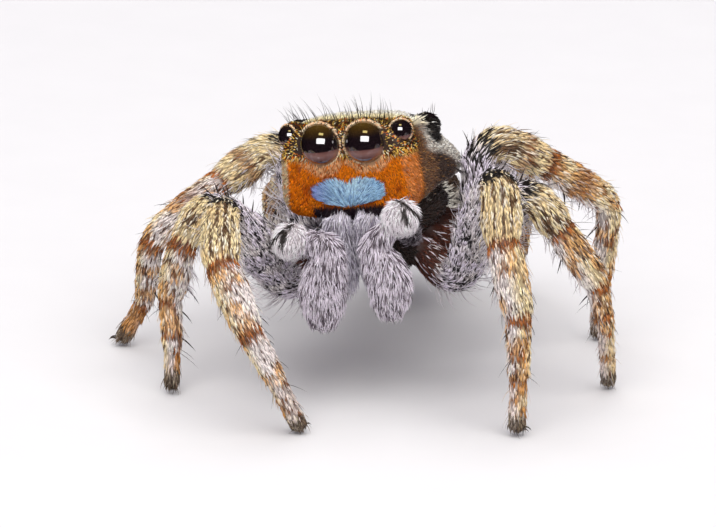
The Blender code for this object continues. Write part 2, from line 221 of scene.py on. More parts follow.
legs = {}
leg_names = []
for number in (1, 2, 3, 4):
    for hand in (1, -1):
        root, end = COXA_ROOTS[number], COXA_ENDS[number]
        corners = [lean((hand * root[0], root[1], root[2])), lean((hand * end[0], end[1], end[2]))]
        pose = LEG_POSES[(number, hand)]
        for length, (heading, rise) in zip(LINK_LENGTHS[number], pose):
            corners.append(corners[-1] + heading_vector(heading, rise) * length)
        last = heading_vector(*pose[4])
        corners.append(corners[-1] + last * (corners[-1][2] / -last[2]))
        stations, points, run = rounded_line(np.array(corners), BEND_RADII)
        middle_femur = int(np.argmin(abs(stations - 1.6)))
        thigh, shin = unit(corners[2] - corners[1]), unit(corners[3] - corners[2])
        tangent, side, back = carry(points, -(shin - thigh * float(shin @ thigh)), middle_femur)
        girth = np.interp(stations, SKIN_STATIONS, SKIN_GIRTH) * LEG_SCALE[number]
        keep = points[:, 2] > 0.10
        points, tangent, side, back = points[keep], tangent[keep], side[keep], back[keep]
        stations, girth, run = stations[keep], girth[keep], run[keep]
        part = len(legs)
        legs[part] = {"number": number, "hand": hand, "points": points, "stations": stations,
                      "tangent": tangent, "side": side, "back": back, "girth": girth,
                      "joints": np.interp(np.arange(7.0), stations, run)}
        rings = tube_rings(points, side, back, girth)
        rings[..., 2] = np.maximum(rings[..., 2], 0.035)
        add_form(part, rings, stations, tangent[:, None, :].repeat(RING_POINTS, 1), points, side, back, run,
                 0.6)
        hand_name = "left" if hand > 0 else "right"
        leg_names += ["leg{}_{}_{}".format(number, hand_name, p) for p in ("femur", "patella", "tibia",
                                                                           "foot")]

# ---------------------------------------------------------------- trunk
# The head shell is one hard box with a steep face and low bumps under the
# eyes. The abdomen behind it is a soft egg on a short waist.
HEAD, BELLY, JAW, PALP_STEM, PALP_KNEE, PALP_BULB, UNDER = 20, 21, 22, 23, 25, 27, 29
SHELL_STATIONS = (
    (0.035, 0.775, 0.170, -0.905, 4.4, 0.12), (0.10, 0.840, 0.210, -0.960, 4.6, 0.12),
    (0.38, 0.905, 0.250, -0.985, 4.0, 0.09), (0.80, 0.975, 0.230, -1.015, 3.3, 0.04),
    (1.02, 1.015, 0.155, -1.035, 2.8, 0.02), (1.26, 1.055, -0.02, -1.055, 2.3, 0.0),
    (1.67, 1.015, -0.28, -1.095, 2.2, 0.0), (1.95, 0.915, -0.49, -1.115, 2.1, 0.0),
    (2.25, 0.735, -0.70, -1.145, 2.0, 0.0), (2.52, 0.555, -0.88, -1.17, 2.1, 0.0),
    (2.74, 0.335, -1.04, -1.20, 2.2, 0.0))
SIDE_EYE = (0.755, 0.215, 0.10)
SMALL_EYE = (0.900, 0.640, 0.10)
REAR_EYE = (0.890, 0.940, 0.020)


def shell_ring(half_width, top, bottom, squareness, flare, behind, count=48):
    """One squarish cross-section of the head as body points."""
    angle = 2 * np.pi * np.arange(count) / count
    power = 2.0 / squareness
    across = np.sign(np.cos(angle)) * abs(np.cos(angle)) ** power
    above = np.sign(np.sin(angle)) * abs(np.sin(angle)) ** power
    height = (top + bottom) / 2 + (top - bottom) / 2 * above
    return np.stack([half_width * across * (1 + flare * np.maximum(0, -height)), np.full(count, behind),
                     height], 1)


def lean_turn(vectors):
    """Body directions to stance directions."""
    return lean(vectors) - np.array([0.0, 0.0, EYE_LEVEL])


table = np.array(SHELL_STATIONS)
depths = np.concatenate([[0.035, 0.06, 0.10, 0.16, 0.24], np.linspace(0.34, 2.74, 34)])
shell = np.array([lean(shell_ring(*[np.interp(d, table[:, 0], table[:, c]) for c in (1, 2, 3, 4, 5)], d))
                  for d in depths])
add_form(HEAD, shell, depths, np.tile(lean_turn((0.0, 1.0, -0.25)), (len(depths), 48, 1)), close=0.2)
face_middle = lean((0.0, 0.035, -0.355))
face_rows = np.array([face_middle + (shell[0] - face_middle) * share for share in (0.08, 0.24, 0.4, 0.56,
                                                                                   0.7, 0.82, 0.92)])
add_marks(HEAD, face_rows, np.zeros(7), np.tile(lean_turn((0.0, 0.1, -1.0)), (7, 48, 1)))


def ball_rings(centre, radii, rows=12, count=24, axis=(0.0, 1.0, 0.0)):
    """Rings of an egg around a centre, poles along an axis."""
    axis = unit(np.array(axis, float))
    side = unit(np.cross(axis, [0.0, 0.1, 1.0]))
    up = np.cross(side, axis)
    angle = np.pi * (np.arange(1, rows)) / rows
    line = np.array(centre) - axis * (radii[1] * np.cos(angle))[:, None]
    turn = 2 * np.pi * np.arange(count) / count
    ring = side * (radii[0] * np.cos(turn))[:, None] + up * (radii[2] * np.sin(turn))[:, None]
    return line[:, None, :] + ring[None] * np.sin(angle)[:, None, None]


def body_ball(part, centre, radii, **more):
    """An egg in body coordinates, added to the skin."""
    rings = lean(ball_rings(centre, radii, **more))
    add_form(part, rings, np.linspace(0, 1, len(rings)))


for hand in (1, -1):
    body_ball(HEAD, (hand * SIDE_EYE[0] * 0.97, SIDE_EYE[1] + 0.10, SIDE_EYE[2]), (0.165, 0.16, 0.165))
    body_ball(HEAD, (hand * 0.83, REAR_EYE[1] - 0.04, -0.05), (0.205, 0.32, 0.175))
    body_ball(HEAD, (hand * SMALL_EYE[0] * 0.98, SMALL_EYE[1], SMALL_EYE[2] - 0.01), (0.075, 0.09, 0.075))
    body_ball(HEAD, (hand * FRONT_EYE[0], FRONT_EYE[1] + 0.10, FRONT_EYE[2]), (0.295, 0.20, 0.295))

ABDOMEN_START, ABDOMEN_LENGTH = 3.14, 2.27
ABDOMEN_SHIFT = (-0.10, -0.75)
ABDOMEN_HEIGHT = (1.78, 1.15)
share = np.linspace(0.03, 0.97, 26)
swell = np.sin(np.pi * share ** 0.80) ** 0.78
behind = ABDOMEN_START + ABDOMEN_LENGTH * (1 - np.cos(np.pi * share)) / 2
height = np.interp(share, (0, 1), ABDOMEN_HEIGHT)
turn = 2 * np.pi * np.arange(40) / 40
belly = np.stack([np.interp(share, (0, 1), ABDOMEN_SHIFT)[:, None] + 0.755 * swell[:, None] * np.cos(turn),
                  np.tile(behind[:, None], (1, 40)), height[:, None] + 0.635 * swell[:, None]
                  * np.sin(turn)], -1)
add_form(BELLY, belly, share, np.tile([-0.25, 1.0, -0.25], (26, 40, 1)), close=0.2)

waist_start, waist_end = lean((0.0, 2.60, -1.13)), np.array([ABDOMEN_SHIFT[0], 3.30, 1.75])
line = np.array([waist_start + (waist_end - waist_start) * s for s in np.linspace(0, 1, 8)])
tangent, side, back = carry(line, np.array([0.0, 0.0, 1.0]), 0)
add_form(UNDER, tube_rings(line, side, back, np.full(8, 0.11)), np.linspace(0, 1, 8))
tip = np.array([ABDOMEN_SHIFT[1], ABDOMEN_START + ABDOMEN_LENGTH, ABDOMEN_HEIGHT[1]])
for offset in ((0.07, 0.0, 0.05), (-0.07, 0.0, 0.05), (0.07, 0.02, -0.05), (-0.07, 0.02, -0.05),
               (0.0, 0.0, 0.0)):
    line = np.array([tip + np.array(offset) + np.array([0, s, -0.1 * s]) for s in np.linspace(-0.12, 0.20,
                                                                                              7)])
    tangent, side, back = carry(line, np.array([0.0, 0.0, 1.0]), 0)
    add_form(UNDER, tube_rings(line, side, back, np.linspace(0.075, 0.035, 7), 12), np.linspace(0, 1, 7))
body_ball(UNDER, (0.0, 1.48, -1.56), (0.36, 0.86, 0.24))
for hand in (1, -1):
    body_ball(UNDER, (hand * 0.42, 0.62, -1.48), (0.25, 0.30, 0.32))
body_ball(UNDER, (0.0, 1.30, -1.25), (0.78, 1.15, 0.30))

# jaws: two blunt pillars under the face
for hand in (1, -1):
    depth = np.linspace(0.0, 1.0, 12)
    girth = np.interp(depth, (0.0, 0.12, 0.4, 0.75, 0.93, 1.0), (1.0, 1.02, 1.0, 0.90, 0.62, 0.40))
    line = lean(np.stack([np.full(12, hand * 0.222), 0.14 - 0.05 * depth, -0.96 - 0.98 * depth], 1))
    tangent, side, back = carry(line, lean_turn((0.0, -1.0, 0.0)), 0)
    add_form(JAW, tube_rings(line, side, back, 0.185 * girth, 24, 1.1), depth)

# palps: a stem from the mouth, a round knee and a hanging bulb
PALPS = {
    1: {"root": (0.80, 0.42, 2.12), "knee": (0.98, -0.55, 2.66), "top": (0.60, -0.56, 2.26),
        "middle": (0.82, -0.52, 1.80), "tip": (0.84, -0.50, 1.30)},
    -1: {"root": (-0.52, 0.40, 1.98), "knee": (-0.50, -0.55, 2.21), "top": (0.02, -0.56, 2.20),
         "middle": (-0.07, -0.52, 1.58), "tip": (-0.08, -0.50, 1.07)},
}
for hand, place in PALPS.items():
    place = {key: np.array(value) for key, value in place.items()}
    line = np.array([place["root"] + (place["knee"] - place["root"]) * s for s in np.linspace(-0.15, 1.0,
                                                                                              16)])
    tangent, side, back = carry(line, np.array([0.0, 0.0, 1.0]), 0)
    add_form(PALP_STEM, tube_rings(line, side, back, np.full(16, 0.125)), np.linspace(0, 1, 16))
    rings = ball_rings(place["knee"], (0.222, 0.225, 0.222), axis=place["top"] - place["knee"])
    add_form(PALP_KNEE, rings, np.linspace(0, 1, len(rings)))
    line = np.array([place["knee"], place["top"], place["top"] * 0.55 + place["middle"] * 0.45,
                     place["middle"],
                     place["middle"] * 0.5 + place["tip"] * 0.5, place["middle"] * 0.08 + place["tip"]
                     * 0.92])
    fine = np.linspace(0, 5, 30)
    line = np.stack([np.interp(fine, range(6), line[:, i]) for i in range(3)], 1)
    for _ in range(3):
        line[1:-1] = (line[:-2] + line[1:-1] * 2 + line[2:]) / 4
    tangent, side, back = carry(line, np.array([0.0, -1.0, 0.0]), 15)
    girth = np.interp(fine, range(6), (0.11, 0.165, 0.235, 0.275, 0.245, 0.15)) * (1.0 if hand > 0 else 1.06)
    add_form(PALP_BULB, tube_rings(line, side, back, girth, 24, 0.88), fine / 5)

# ---------------------------------------------------------------- skin
# One thin hard skin over the whole animal. The forms above are fused into a
# single surface, and everything that grows on it looks up its place there.
VOXEL = 0.038


def mesh_from_arrays(name, verts, faces):
    """A mesh from a vertex array and a list of equal-sided faces."""
    faces = np.asarray(faces)
    mesh = bpy.data.meshes.new(name)
    mesh.vertices.add(len(verts))
    mesh.vertices.foreach_set("co", np.asarray(verts, np.float32).ravel())
    size = faces.shape[1]
    mesh.loops.add(faces.size)
    mesh.loops.foreach_set("vertex_index", faces.astype(np.int32).ravel())
    mesh.polygons.add(len(faces))
    mesh.polygons.foreach_set("loop_start", (np.arange(len(faces)) * size).astype(np.int32))
    mesh.update(calc_edges=True)
    mesh.shade_smooth()
    mesh.validate()
    return mesh


def close_rings(rings, first, last):
    """Vertices and triangles of a row of rings closed by two poles."""
    rows, count = rings.shape[:2]
    verts = np.concatenate([rings.reshape(-1, 3), [first], [last]])
    faces = []
    for r in range(rows - 1):
        for i in range(count):
            j = (i + 1) % count
            a, b, c, d = r * count + i, r * count + j, (r + 1) * count + j, (r + 1) * count + i
            faces += [(a, b, c), (a, c, d)]
    end = (rows - 1) * count
    for i in range(count):
        j = (i + 1) % count
        faces += [(rows * count, j, i), (rows * count + 1, end + i, end + j)]
    faces = np.array(faces)
    corner = verts[faces]
    volume = np.einsum("ij,ij->i", corner[:, 0], np.cross(corner[:, 1], corner[:, 2])).sum()
    return verts, faces if volume > 0 else faces[:, ::-1]


all_verts, all_faces, base = [], [], 0
for rings, first, last in ring_lists:
    verts, faces = close_rings(rings, first, last)
    all_verts.append(verts)
    all_faces.append(faces + base)
    base += len(verts)
block = bpy.data.objects.new("skin_block", mesh_from_arrays("skin_block", np.concatenate(all_verts),
                                                            np.concatenate(all_faces)))
bpy.context.scene.collection.objects.link(block)
fuse = block.modifiers.new("fuse", "REMESH")
fuse.mode = "VOXEL"
fuse.voxel_size = VOXEL
fuse.use_smooth_shade = True
soften = block.modifiers.new("soften", "SMOOTH")
soften.factor = 0.5
soften.iterations = 3
skin_mesh = bpy.data.meshes.new_from_object(block.evaluated_get(bpy.context.evaluated_depsgraph_get()))
bpy.data.objects.remove(block, do_unlink=True)
skin_mesh.name = "skin"
skin_verts = np.empty(len(skin_mesh.vertices) * 3)
skin_mesh.vertices.foreach_get("co", skin_verts)
skin_verts = skin_verts.reshape(-1, 3)
skin_normals = np.empty(len(skin_mesh.vertices) * 3)
skin_mesh.vertices.foreach_get("normal", skin_normals)
skin_normals = skin_normals.reshape(-1, 3)
skin_mesh.calc_loop_triangles()
skin_tris = np.empty(len(skin_mesh.loop_triangles) * 3, np.int32)
skin_mesh.loop_triangles.foreach_get("vertices", skin_tris)
skin_tris = skin_tris.reshape(-1, 3)

mark = {key: np.concatenate([m[key] for m in marks]) for key in marks[0]}


def tree_of(places):
    """A search tree over places."""
    tree = KDTree(len(places))
    for index, place in enumerate(places):
        tree.insert(place, index)
    tree.balance()
    return tree


mark_tree = tree_of(mark["place"])


def read_marks(places):
    """Part, station, angle and lie of the surface at each place."""
    nearest = np.array([mark_tree.find(p)[1] for p in places])
    found = {key: value[nearest] for key, value in mark.items()}
    away = places - found["centre"]
    limb = found["pace"] > 0
    along = np.einsum("ij,ij->i", away, found["lie"]) * limb
    found["station"] = found["station"] + found["pace"] * along
    found["run"] = found["run"] + along
    angle = np.arctan2(np.einsum("ij,ij->i", away, found["back"]), np.einsum("ij,ij->i", away, found["side"]))
    found["angle"] = np.where(limb, angle, found["angle"])
    found["place"] = places
    return found


tri_corners = skin_verts[skin_tris]
tri_cross = np.cross(tri_corners[:, 1] - tri_corners[:, 0], tri_corners[:, 2] - tri_corners[:, 0])
tri_area = np.linalg.norm(tri_cross, axis=1) / 2
tri_middle = tri_corners.mean(1)
tri_marks = read_marks(tri_middle)

# ---------------------------------------------------------------- markings
# The colours of skin and coat come from the same rules: where on which part a
# hair grows, with patches and specks from smooth noise.


def paint(red, green, blue):
    """Linear colour from display values out of 255."""
    value = np.array([red, green, blue]) / 255.0
    return np.where(value <= 0.04045, value / 12.92, ((value + 0.055) / 1.055) ** 2.4)


def cloud(points, size, seed):
    """Smooth noise from 0 to 1 with lumps of the given size."""
    spot = np.asarray(points) / size + seed * 7.31
    cell = np.floor(spot).astype(np.int64)
    part = spot - cell
    part = part * part * (3 - 2 * part)
    total = np.zeros(len(spot))
    for corner in np.ndindex(2, 2, 2):
        key = (cell + corner) @ np.array([73856093, 19349663, 83492791]) + seed * 40503
        key = (key ^ (key >> 13)) * 1274126177 & 0x7fffffff
        key = (key ^ (key >> 16)) & 0xffff
        weight = np.prod(np.where(corner, part, 1 - part), axis=1)
        total += weight * key / 65535.0
    return total


def band(value, low, high, soft):
    """One between low and high, fading to zero over the soft width."""
    rise = np.clip((value - low) / soft + 0.5, 0, 1)
    fall = np.clip((high - value) / soft + 0.5, 0, 1)
    return rise * fall


def mix(first, second, share):
    """Colours blended by a share for each row."""
    return first + (second - first) * share[:, None]


def repeat_colour(colour, count):
    """One colour for many rows."""
    return np.tile(np.asarray(colour, float), (count, 1))


def two_tone(first, second, share):
    """One colour blended towards another by a share for each row."""
    return mix(repeat_colour(first, len(share)), second, share)


LILAC, BLACK_BROWN = paint(250, 240, 255), paint(30, 22, 20)
GOLD_CREAM, PALE_CREAM = paint(255, 232, 180), paint(255, 248, 232)
ORANGE_TAN, PINK_CREAM = paint(244, 184, 106), paint(255, 244, 244)
RUST, DARK_FOOT = paint(188, 108, 36), paint(104, 84, 64)


def leg_colours(m, out, seed, grain):
    """Colours of the legs. grain is one random number for each hair."""
    count = len(m["station"])
    s, angle, place = m["station"], m["angle"], m["place"]
    number = np.array([legs[p]["number"] for p in m["part"]])
    hand = np.array([legs[p]["hand"] for p in m["part"]])
    outer = np.clip(out[:, 0] * hand * 0.9 + 0.15, 0, 1)
    speck = cloud(place, 0.055, seed + 1)
    patch = cloud(place, 0.16, seed + 2)
    streak_place = np.stack([s * 0.9 + m["part"] * 3.0, angle * 2.6, m["part"] * 5.0], 1)
    streak = cloud(streak_place, 0.55, seed + 3)

    colour = repeat_colour(LILAC, count)
    colour = mix(colour, PALE_CREAM, np.clip(patch * 1.6 - 0.7, 0, 0.55))
    dark = (grain < 0.17) | ((speck > 0.68) & (grain < 0.7))
    colour = np.where(dark[:, None], BLACK_BROWN, colour)

    shin = repeat_colour(GOLD_CREAM, count)
    shin = mix(shin, PINK_CREAM, np.clip(1.1 - outer * 1.6, 0, 0.9) * (s > 3))
    shin = mix(shin, ORANGE_TAN, np.clip((patch - 0.46) * 5 + outer * 0.5 - 0.2, 0, 0.85)
               * np.clip((s - 2.7) * 2, 0.2, 1))
    shin = mix(shin, PALE_CREAM, np.clip((grain - 0.68) * 4, 0, 1) * 0.8)
    shin = mix(shin, paint(128, 76, 34), np.clip((speck - 0.64) * 9, 0, 0.9) * (s > 3.1) * (patch > 0.40))
    shin = np.where(((grain < 0.07) & (s > 3))[:, None], paint(84, 52, 34), shin)
    stripe = band(s, 1.98, 2.94, 0.06) * (streak > 0.70)
    stripe = np.maximum(stripe, band(s, 2.02, 2.70, 0.05) * (np.cos(angle * 7.0 + hand * 0.6) > 0.86)
                        * (patch > 0.46))
    shin = mix(shin, paint(96, 58, 24), stripe * (grain < 0.8) * 0.95)

    colour = mix(colour, shin, np.clip((s - 1.93) / 0.05, 0, 1))
    back_facing = np.sin(angle) > 0.2
    colour = np.where((back_facing & (s > 1.88) & (s < 2.04) & (grain < 0.6))[:, None], BLACK_BROWN, colour)
    joint = np.array([legs[p]["joints"] for p in m["part"]])
    past = m["run"][:, None] - joint
    ring = band(past[:, 3], 0.0, 0.115, 0.03)
    ring = np.maximum(ring, band(past[:, 4], -0.02, 0.085, 0.04) * (patch + 0.30 * np.sin(angle) > 0.44))
    ring = np.maximum(ring, band(past[:, 4], 0.42, 0.50, 0.04) * (patch > 0.58))
    ring = np.maximum(ring, band(past[:, 5], -0.02, 0.075, 0.03) * (patch > 0.36))
    ring = np.maximum(ring, (number >= 3) * band(s, 2.3, 2.5, 0.1) * 0.5)
    ring = np.maximum(ring, (number >= 3) * band(s, 3.42, 3.62, 0.1) * 0.5)
    edge = ring * (cloud(place, 0.03, seed + 12) > 0.5)
    colour = mix(colour, RUST, ring * np.where(grain < 0.93, 1.0, 0.3))
    colour = mix(colour, paint(92, 46, 18), edge * 0.7)
    tarsus = band(s, 5.12, 5.7, 0.1)
    warm = np.where(number >= 3, 0.75, 0.15 + 0.5 * (patch > 0.55))
    colour = mix(colour, paint(206, 138, 56), tarsus * warm)
    colour = mix(colour, DARK_FOOT, np.clip((0.22 - (joint[:, 6] - m["run"])) / 0.05, 0, 1) * 0.85)
    coxa = np.clip((0.95 - s) / 0.1, 0, 1)
    colour = mix(colour, paint(96, 44, 26), coxa * (grain < 0.75))
    return colour


def upright(points):
    """Stance points to body points."""
    x, y, z = np.moveaxis(np.asarray(points, float), -1, 0)
    z = z - EYE_LEVEL
    return np.stack([x * math.cos(BODY_ROLL) + z * math.sin(BODY_ROLL), y,
                     z * math.cos(BODY_ROLL) - x * math.sin(BODY_ROLL)], -1)


FACE_ORANGE, COPPER, BEIGE = paint(255, 142, 4), paint(255, 196, 140), paint(246, 226, 184)
TOP_CREAM, SIDE_BROWN, SIDE_DARK = paint(255, 238, 186), paint(140, 96, 58), paint(74, 50, 34)
BAND_CREAM, GOLD_SCALE = paint(255, 250, 236), paint(255, 206, 96)


def head_colours(m, out, seed, grain):
    """Colours of the head shell, from body coordinates."""
    spot = upright(m["place"])
    x, y, z = spot[:, 0], spot[:, 1], spot[:, 2]
    count = len(x)
    patch = cloud(m["place"], 0.12, seed + 4)
    speck = cloud(m["place"], 0.04, seed + 5)
    line = np.interp(y, (0.45, 0.60, 1.00, 1.26, 1.67, 2.1), (0.00, -0.05, -0.20, -0.36, -0.78, -1.02))
    under_line = np.clip((line - 0.16 - z) / 0.12, 0, 1) * np.clip((y - 0.62) / 0.25, 0, 1)
    colour = two_tone(SIDE_BROWN, SIDE_DARK, np.clip(under_line * 1.2 + (patch - 0.5) * 0.8, 0, 1))
    colour = mix(colour, paint(176, 128, 70), (grain > 0.8) * 0.8)
    cream = band(z, line - 0.22, line + 0.36 + np.clip(y - 1.05, 0, 1) * 2,
                 0.08) * np.clip((y - 0.5) / 0.15, 0, 1)
    top = np.clip((z - 0.06) / 0.05, 0, 1) * (y < 1.3)
    colour = mix(colour, TOP_CREAM, top)
    wide = np.interp(y, (0.0, 0.38, 1.02, 1.67, 1.95, 2.25, 2.52, 2.76), (0.80, 0.95, 1.06, 1.06, 0.96,
                                                                          0.78, 0.60, 0.38))
    back = np.clip((0.60 - abs(x) / wide) / 0.12, 0, 1) * np.clip((y - 1.25) / 0.15, 0, 1)
    colour = mix(colour, BAND_CREAM, cream * (1 - back) * np.where(speck > 0.72, 0.5, 1.0))
    slope = np.clip((y - 1.15) / 0.2, 0, 1) * (z > line + 0.1) * (abs(x) < 0.11 + 0.08 * patch)
    colour = mix(colour, TOP_CREAM, slope * 0.85)
    tuft = np.exp(-((y - 1.1) / 0.25) ** 2) * (z < -0.86)
    colour = mix(colour, BAND_CREAM, tuft * 0.8)
    front = np.clip((0.34 - y) / 0.10, 0, 1)
    face = repeat_colour(FACE_ORANGE, count)
    face = mix(face, paint(176, 62, 4), np.clip((patch - 0.5) * 2.2 + (speck - 0.5), 0, 0.7))
    near_eye = np.hypot(np.minimum(abs(x - FRONT_EYE[0]), abs(x + FRONT_EYE[0])), z)
    face = mix(face, COPPER, np.clip((0.385 - near_eye + 0.06 * (patch - 0.5)) / 0.05, 0, 1) * (grain > 0.25))
    face = mix(face, COPPER, np.clip((0.26 - np.hypot(abs(x) - 0.78, z - 0.06)) / 0.05, 0, 1) * (grain > 0.3))
    # painted shade: a dark band low on the face, where it meets the jaws
    face_jaw_painted_shade = band(z, -1.2, -0.79, 0.05) * (abs(x + 0.02) < 0.47)
    face = mix(face, paint(38, 22, 34), face_jaw_painted_shade)
    # gold zone: dark brown and gold scales; the gold ones are partly their own colour and partly painted
    # glints for a metallic shine, and the near-white ones are painted glints
    gold_scales_and_painted_glints = two_tone(paint(74, 38, 12), GOLD_SCALE, (grain > 0.55) * 1.0)
    gold_scales_and_painted_glints = mix(gold_scales_and_painted_glints, paint(255, 244, 206), (grain > 0.9) * 1.0)
    gold_scales_and_painted_glints = mix(gold_scales_and_painted_glints, paint(226, 112, 24), (grain < 0.14) * 1.0)
    cheek = np.clip((abs(x) - 0.71 + 0.10 * z) / 0.04, 0, 1) * (z < -0.05)
    face = mix(face, BEIGE, cheek * np.where(x < 0, 1.0, 0.2) * (grain < 0.9))
    colour = mix(colour, face, front)
    gold_zone = np.clip((z + 0.20) / 0.06, 0, 1) * np.clip((0.42 - y) / 0.06, 0, 1)
    colour = mix(colour, gold_scales_and_painted_glints, gold_zone)
    hump = np.linalg.norm(spot - np.array(REAR_EYE), axis=1)
    hump = np.minimum(hump, np.linalg.norm(spot - np.array(REAR_EYE) * [-1, 1, 1], axis=1))
    colour = mix(colour, paint(24, 16, 12), np.clip((0.33 - hump) / 0.05, 0, 1) * (grain > 0.06))
    return colour


def belly_colours(m, out, seed, grain):
    """Colours of the abdomen: brown with a pale front edge, stripe and specks."""
    place = m["place"]
    y = place[:, 1]
    x = place[:, 0] - np.interp(y, (3.1, 5.4), ABDOMEN_SHIFT)
    patch = cloud(place, 0.16, seed + 6)
    speck = cloud(place, 0.05, seed + 7)
    colour = two_tone(paint(104, 74, 46), paint(52, 38, 28), np.clip(patch * 1.8 - 0.4, 0, 1))
    up = out[:, 2] > -0.1
    colour = mix(colour, BAND_CREAM, band(y, 3.15, 3.55, 0.12) * up * 0.95)
    chevron = band(abs(x), 0.0, 0.13 + 0.10 * np.abs(np.sin((y - 3.6) * 4.2)), 0.05) * up * (y > 3.5)
    colour = mix(colour, TOP_CREAM, chevron * 0.85)
    side = band(np.abs(x), 0.62, 0.95, 0.1) * band(out[:, 2], -0.3, 0.35, 0.2)
    colour = mix(colour, BAND_CREAM, side * 0.6)
    colour = mix(colour, paint(150, 132, 108), (out[:, 2] < -0.35) * 0.6)
    colour = np.where((speck > 0.68)[:, None] & (grain < 0.7)[:, None], paint(36, 26, 20), colour)
    return colour


def palp_colours(m, out, seed, grain):
    """Colours of palps and jaws: white knees with a dark comma, grey bulbs."""
    place, part = m["place"], m["part"]
    count = len(part)
    speck = cloud(place, 0.06, seed + 8)
    colour = two_tone(paint(248, 242, 255), paint(122, 108, 134), (grain < 0.12 + 0.25 * (speck > 0.62))
                      * 0.85)
    white = repeat_colour(paint(255, 247, 252), count)
    colour = np.where((part == PALP_KNEE)[:, None], white, colour)
    for hand, spots in PALPS.items():
        knee = np.array(spots["knee"])
        away = place - knee
        across = away @ view_right
        high = away @ view_above
        near = (np.linalg.norm(away, axis=1) < 0.36) & (part == PALP_KNEE)
        across, shift = (across, -0.10) if hand < 0 else (-across, -0.06)
        arc = near & (abs(high - 0.19 - 0.55 * across + 0.9
                          * across ** 2) < 0.022) & (across < 0.03) & (across > -0.26)
        comma = near & (abs(across - shift - 0.35 * high) < 0.030 + 0.06 * high) & (high < 0.13) & (high >
                                                                                                    -0.08)
        colour = np.where((arc | comma)[:, None], paint(44, 34, 30), colour)
    bulb = part == PALP_BULB
    grey = two_tone(paint(250, 240, 252), paint(88, 68, 82), (grain < 0.16 + 0.36 * (speck > 0.62)) * 0.95)
    colour = np.where(bulb[:, None], grey, colour)
    stem = part == PALP_STEM
    return np.where(stem[:, None], mix(grey, paint(60, 52, 58), np.full(count, 0.45)), colour)


def body_colours(m, out, seed, grain):
    """Colours of any place on the animal."""
    part = m["part"]
    colour = repeat_colour(paint(58, 40, 30), len(part))
    for wanted, rule in ((part < LEG_COUNT, leg_colours), (part == HEAD, head_colours),
                         (part == BELLY, belly_colours),
                         ((part >= JAW) & (part < UNDER), palp_colours)):
        if wanted.any():
            some = {key: value[wanted] for key, value in m.items()}
            colour[wanted] = rule(some, out[wanted], seed, grain[wanted])
    return colour


# ---------------------------------------------------------------- skin finish
# The skin is dull brown horn that shows only between the hairs. It is tinted by
# the coat's own rules, darker than the coat, and has a fine grain.
SKIN_SHADE = 0.50
GRAIN_DEPTH = 0.00001
skin_marks = read_marks(skin_verts)
skin_colours = body_colours(skin_marks, skin_normals, 3, np.full(len(skin_verts), 0.5))
skin_colours = skin_colours * SKIN_SHADE


def add_tint(mesh, colours):
    """Store one colour for each vertex under the name tint."""
    layer = mesh.color_attributes.new("tint", "FLOAT_COLOR", "POINT")
    rgba = np.concatenate([np.clip(colours, 0, 1), np.ones((len(colours), 1))], 1)
    layer.data.foreach_set("color", rgba.astype(np.float32).ravel())


add_tint(skin_mesh, skin_colours)


class Dye:
    """A shader socket that sums and products can be written with."""

    def __init__(self, pot, socket):
        self.pot = pot
        self.socket = socket

    def sum_with(self, operation, other, flipped=False):
        """A Math node of this socket and another value."""
        pair = (other, self) if flipped else (self, other)
        return self.pot.node("ShaderNodeMath", {"operation": operation}, {0: pair[0], 1: pair[1]})

    def __add__(self, other):
        return self.sum_with("ADD", other)

    def __radd__(self, other):
        return self.sum_with("ADD", other, True)

    def __sub__(self, other):
        return self.sum_with("SUBTRACT", other)

    def __rsub__(self, other):
        return self.sum_with("SUBTRACT", other, True)

    def __mul__(self, other):
        return self.sum_with("MULTIPLY", other)

    def __rmul__(self, other):
        return self.sum_with("MULTIPLY", other, True)


class Pot:
    """One finish: a Principled material and the nodes that feed it."""

    def __init__(self, name, constants):
        self.material = bpy.data.materials.new(name)
        self.material.use_nodes = True
        self.tree = self.material.node_tree
        self.shader = self.tree.nodes["Principled BSDF"]
        for socket, value in constants.items():
            self.shader.inputs[socket].default_value = value

    def node(self, kind, settings, values, output=0):
        """A node with its settings, then its socket values or links; returns one output."""
        made = self.tree.nodes.new(kind)
        for key, value in settings.items():
            if key == "stops":
                made.color_ramp.elements[0].position, made.color_ramp.elements[0].color = value[0]
                made.color_ramp.elements[1].position, made.color_ramp.elements[1].color = value[-1]
                for position, colour in value[1:-1]:
                    made.color_ramp.elements.new(position).color = colour
            else:
                setattr(made, key, value)
        for key, value in values.items():
            if isinstance(value, Dye):
                self.tree.links.new(value.socket, made.inputs[key])
            else:
                made.inputs[key].default_value = value
        return Dye(self, made.outputs[output])

    def tint(self, first, second, share, blend="MIX"):
        """A Mix node of two colours."""
        return self.node("ShaderNodeMix", {"data_type": "RGBA", "blend_type": blend},
                         {0: share, 6: first, 7: second}, 2)

    def noise(self, scale, detail=3.0, rough=0.55):
        """Noise over the object's own coordinates."""
        where = self.node("ShaderNodeTexCoord", {}, {}, "Object")
        return self.node("ShaderNodeTexNoise", {}, {"Vector": where, "Scale": scale, "Detail": detail,
                                                        "Roughness": rough})

    def feed(self, socket, dye):
        """Link a value into the shader."""
        self.tree.links.new(dye.socket, self.shader.inputs[socket])

    def bump(self, height, strength, distance):
        """Feed the normal from a height."""
        self.feed("Normal", self.node("ShaderNodeBump", {}, {"Height": height, "Strength": strength,
                                                             "Distance": distance}))


skin_pot = Pot("cuticle", {"Specular IOR Level": 0.5, "Coat Roughness": 0.3})
base_colour = skin_pot.node("ShaderNodeAttribute", {"attribute_name": "tint"}, {}, "Color")
grain_fine, grain_broad = skin_pot.noise(42000.0), skin_pot.noise(9000.0)
darker = skin_pot.tint(base_colour, (0.35, 0.27, 0.22, 1.0), 0.55, "MULTIPLY")
skin_pot.feed("Base Color", skin_pot.tint(darker, base_colour, grain_broad))
skin_pot.feed("Roughness", 0.42 + 0.3 * grain_fine)
skin_pot.bump(grain_fine, 0.5, GRAIN_DEPTH)

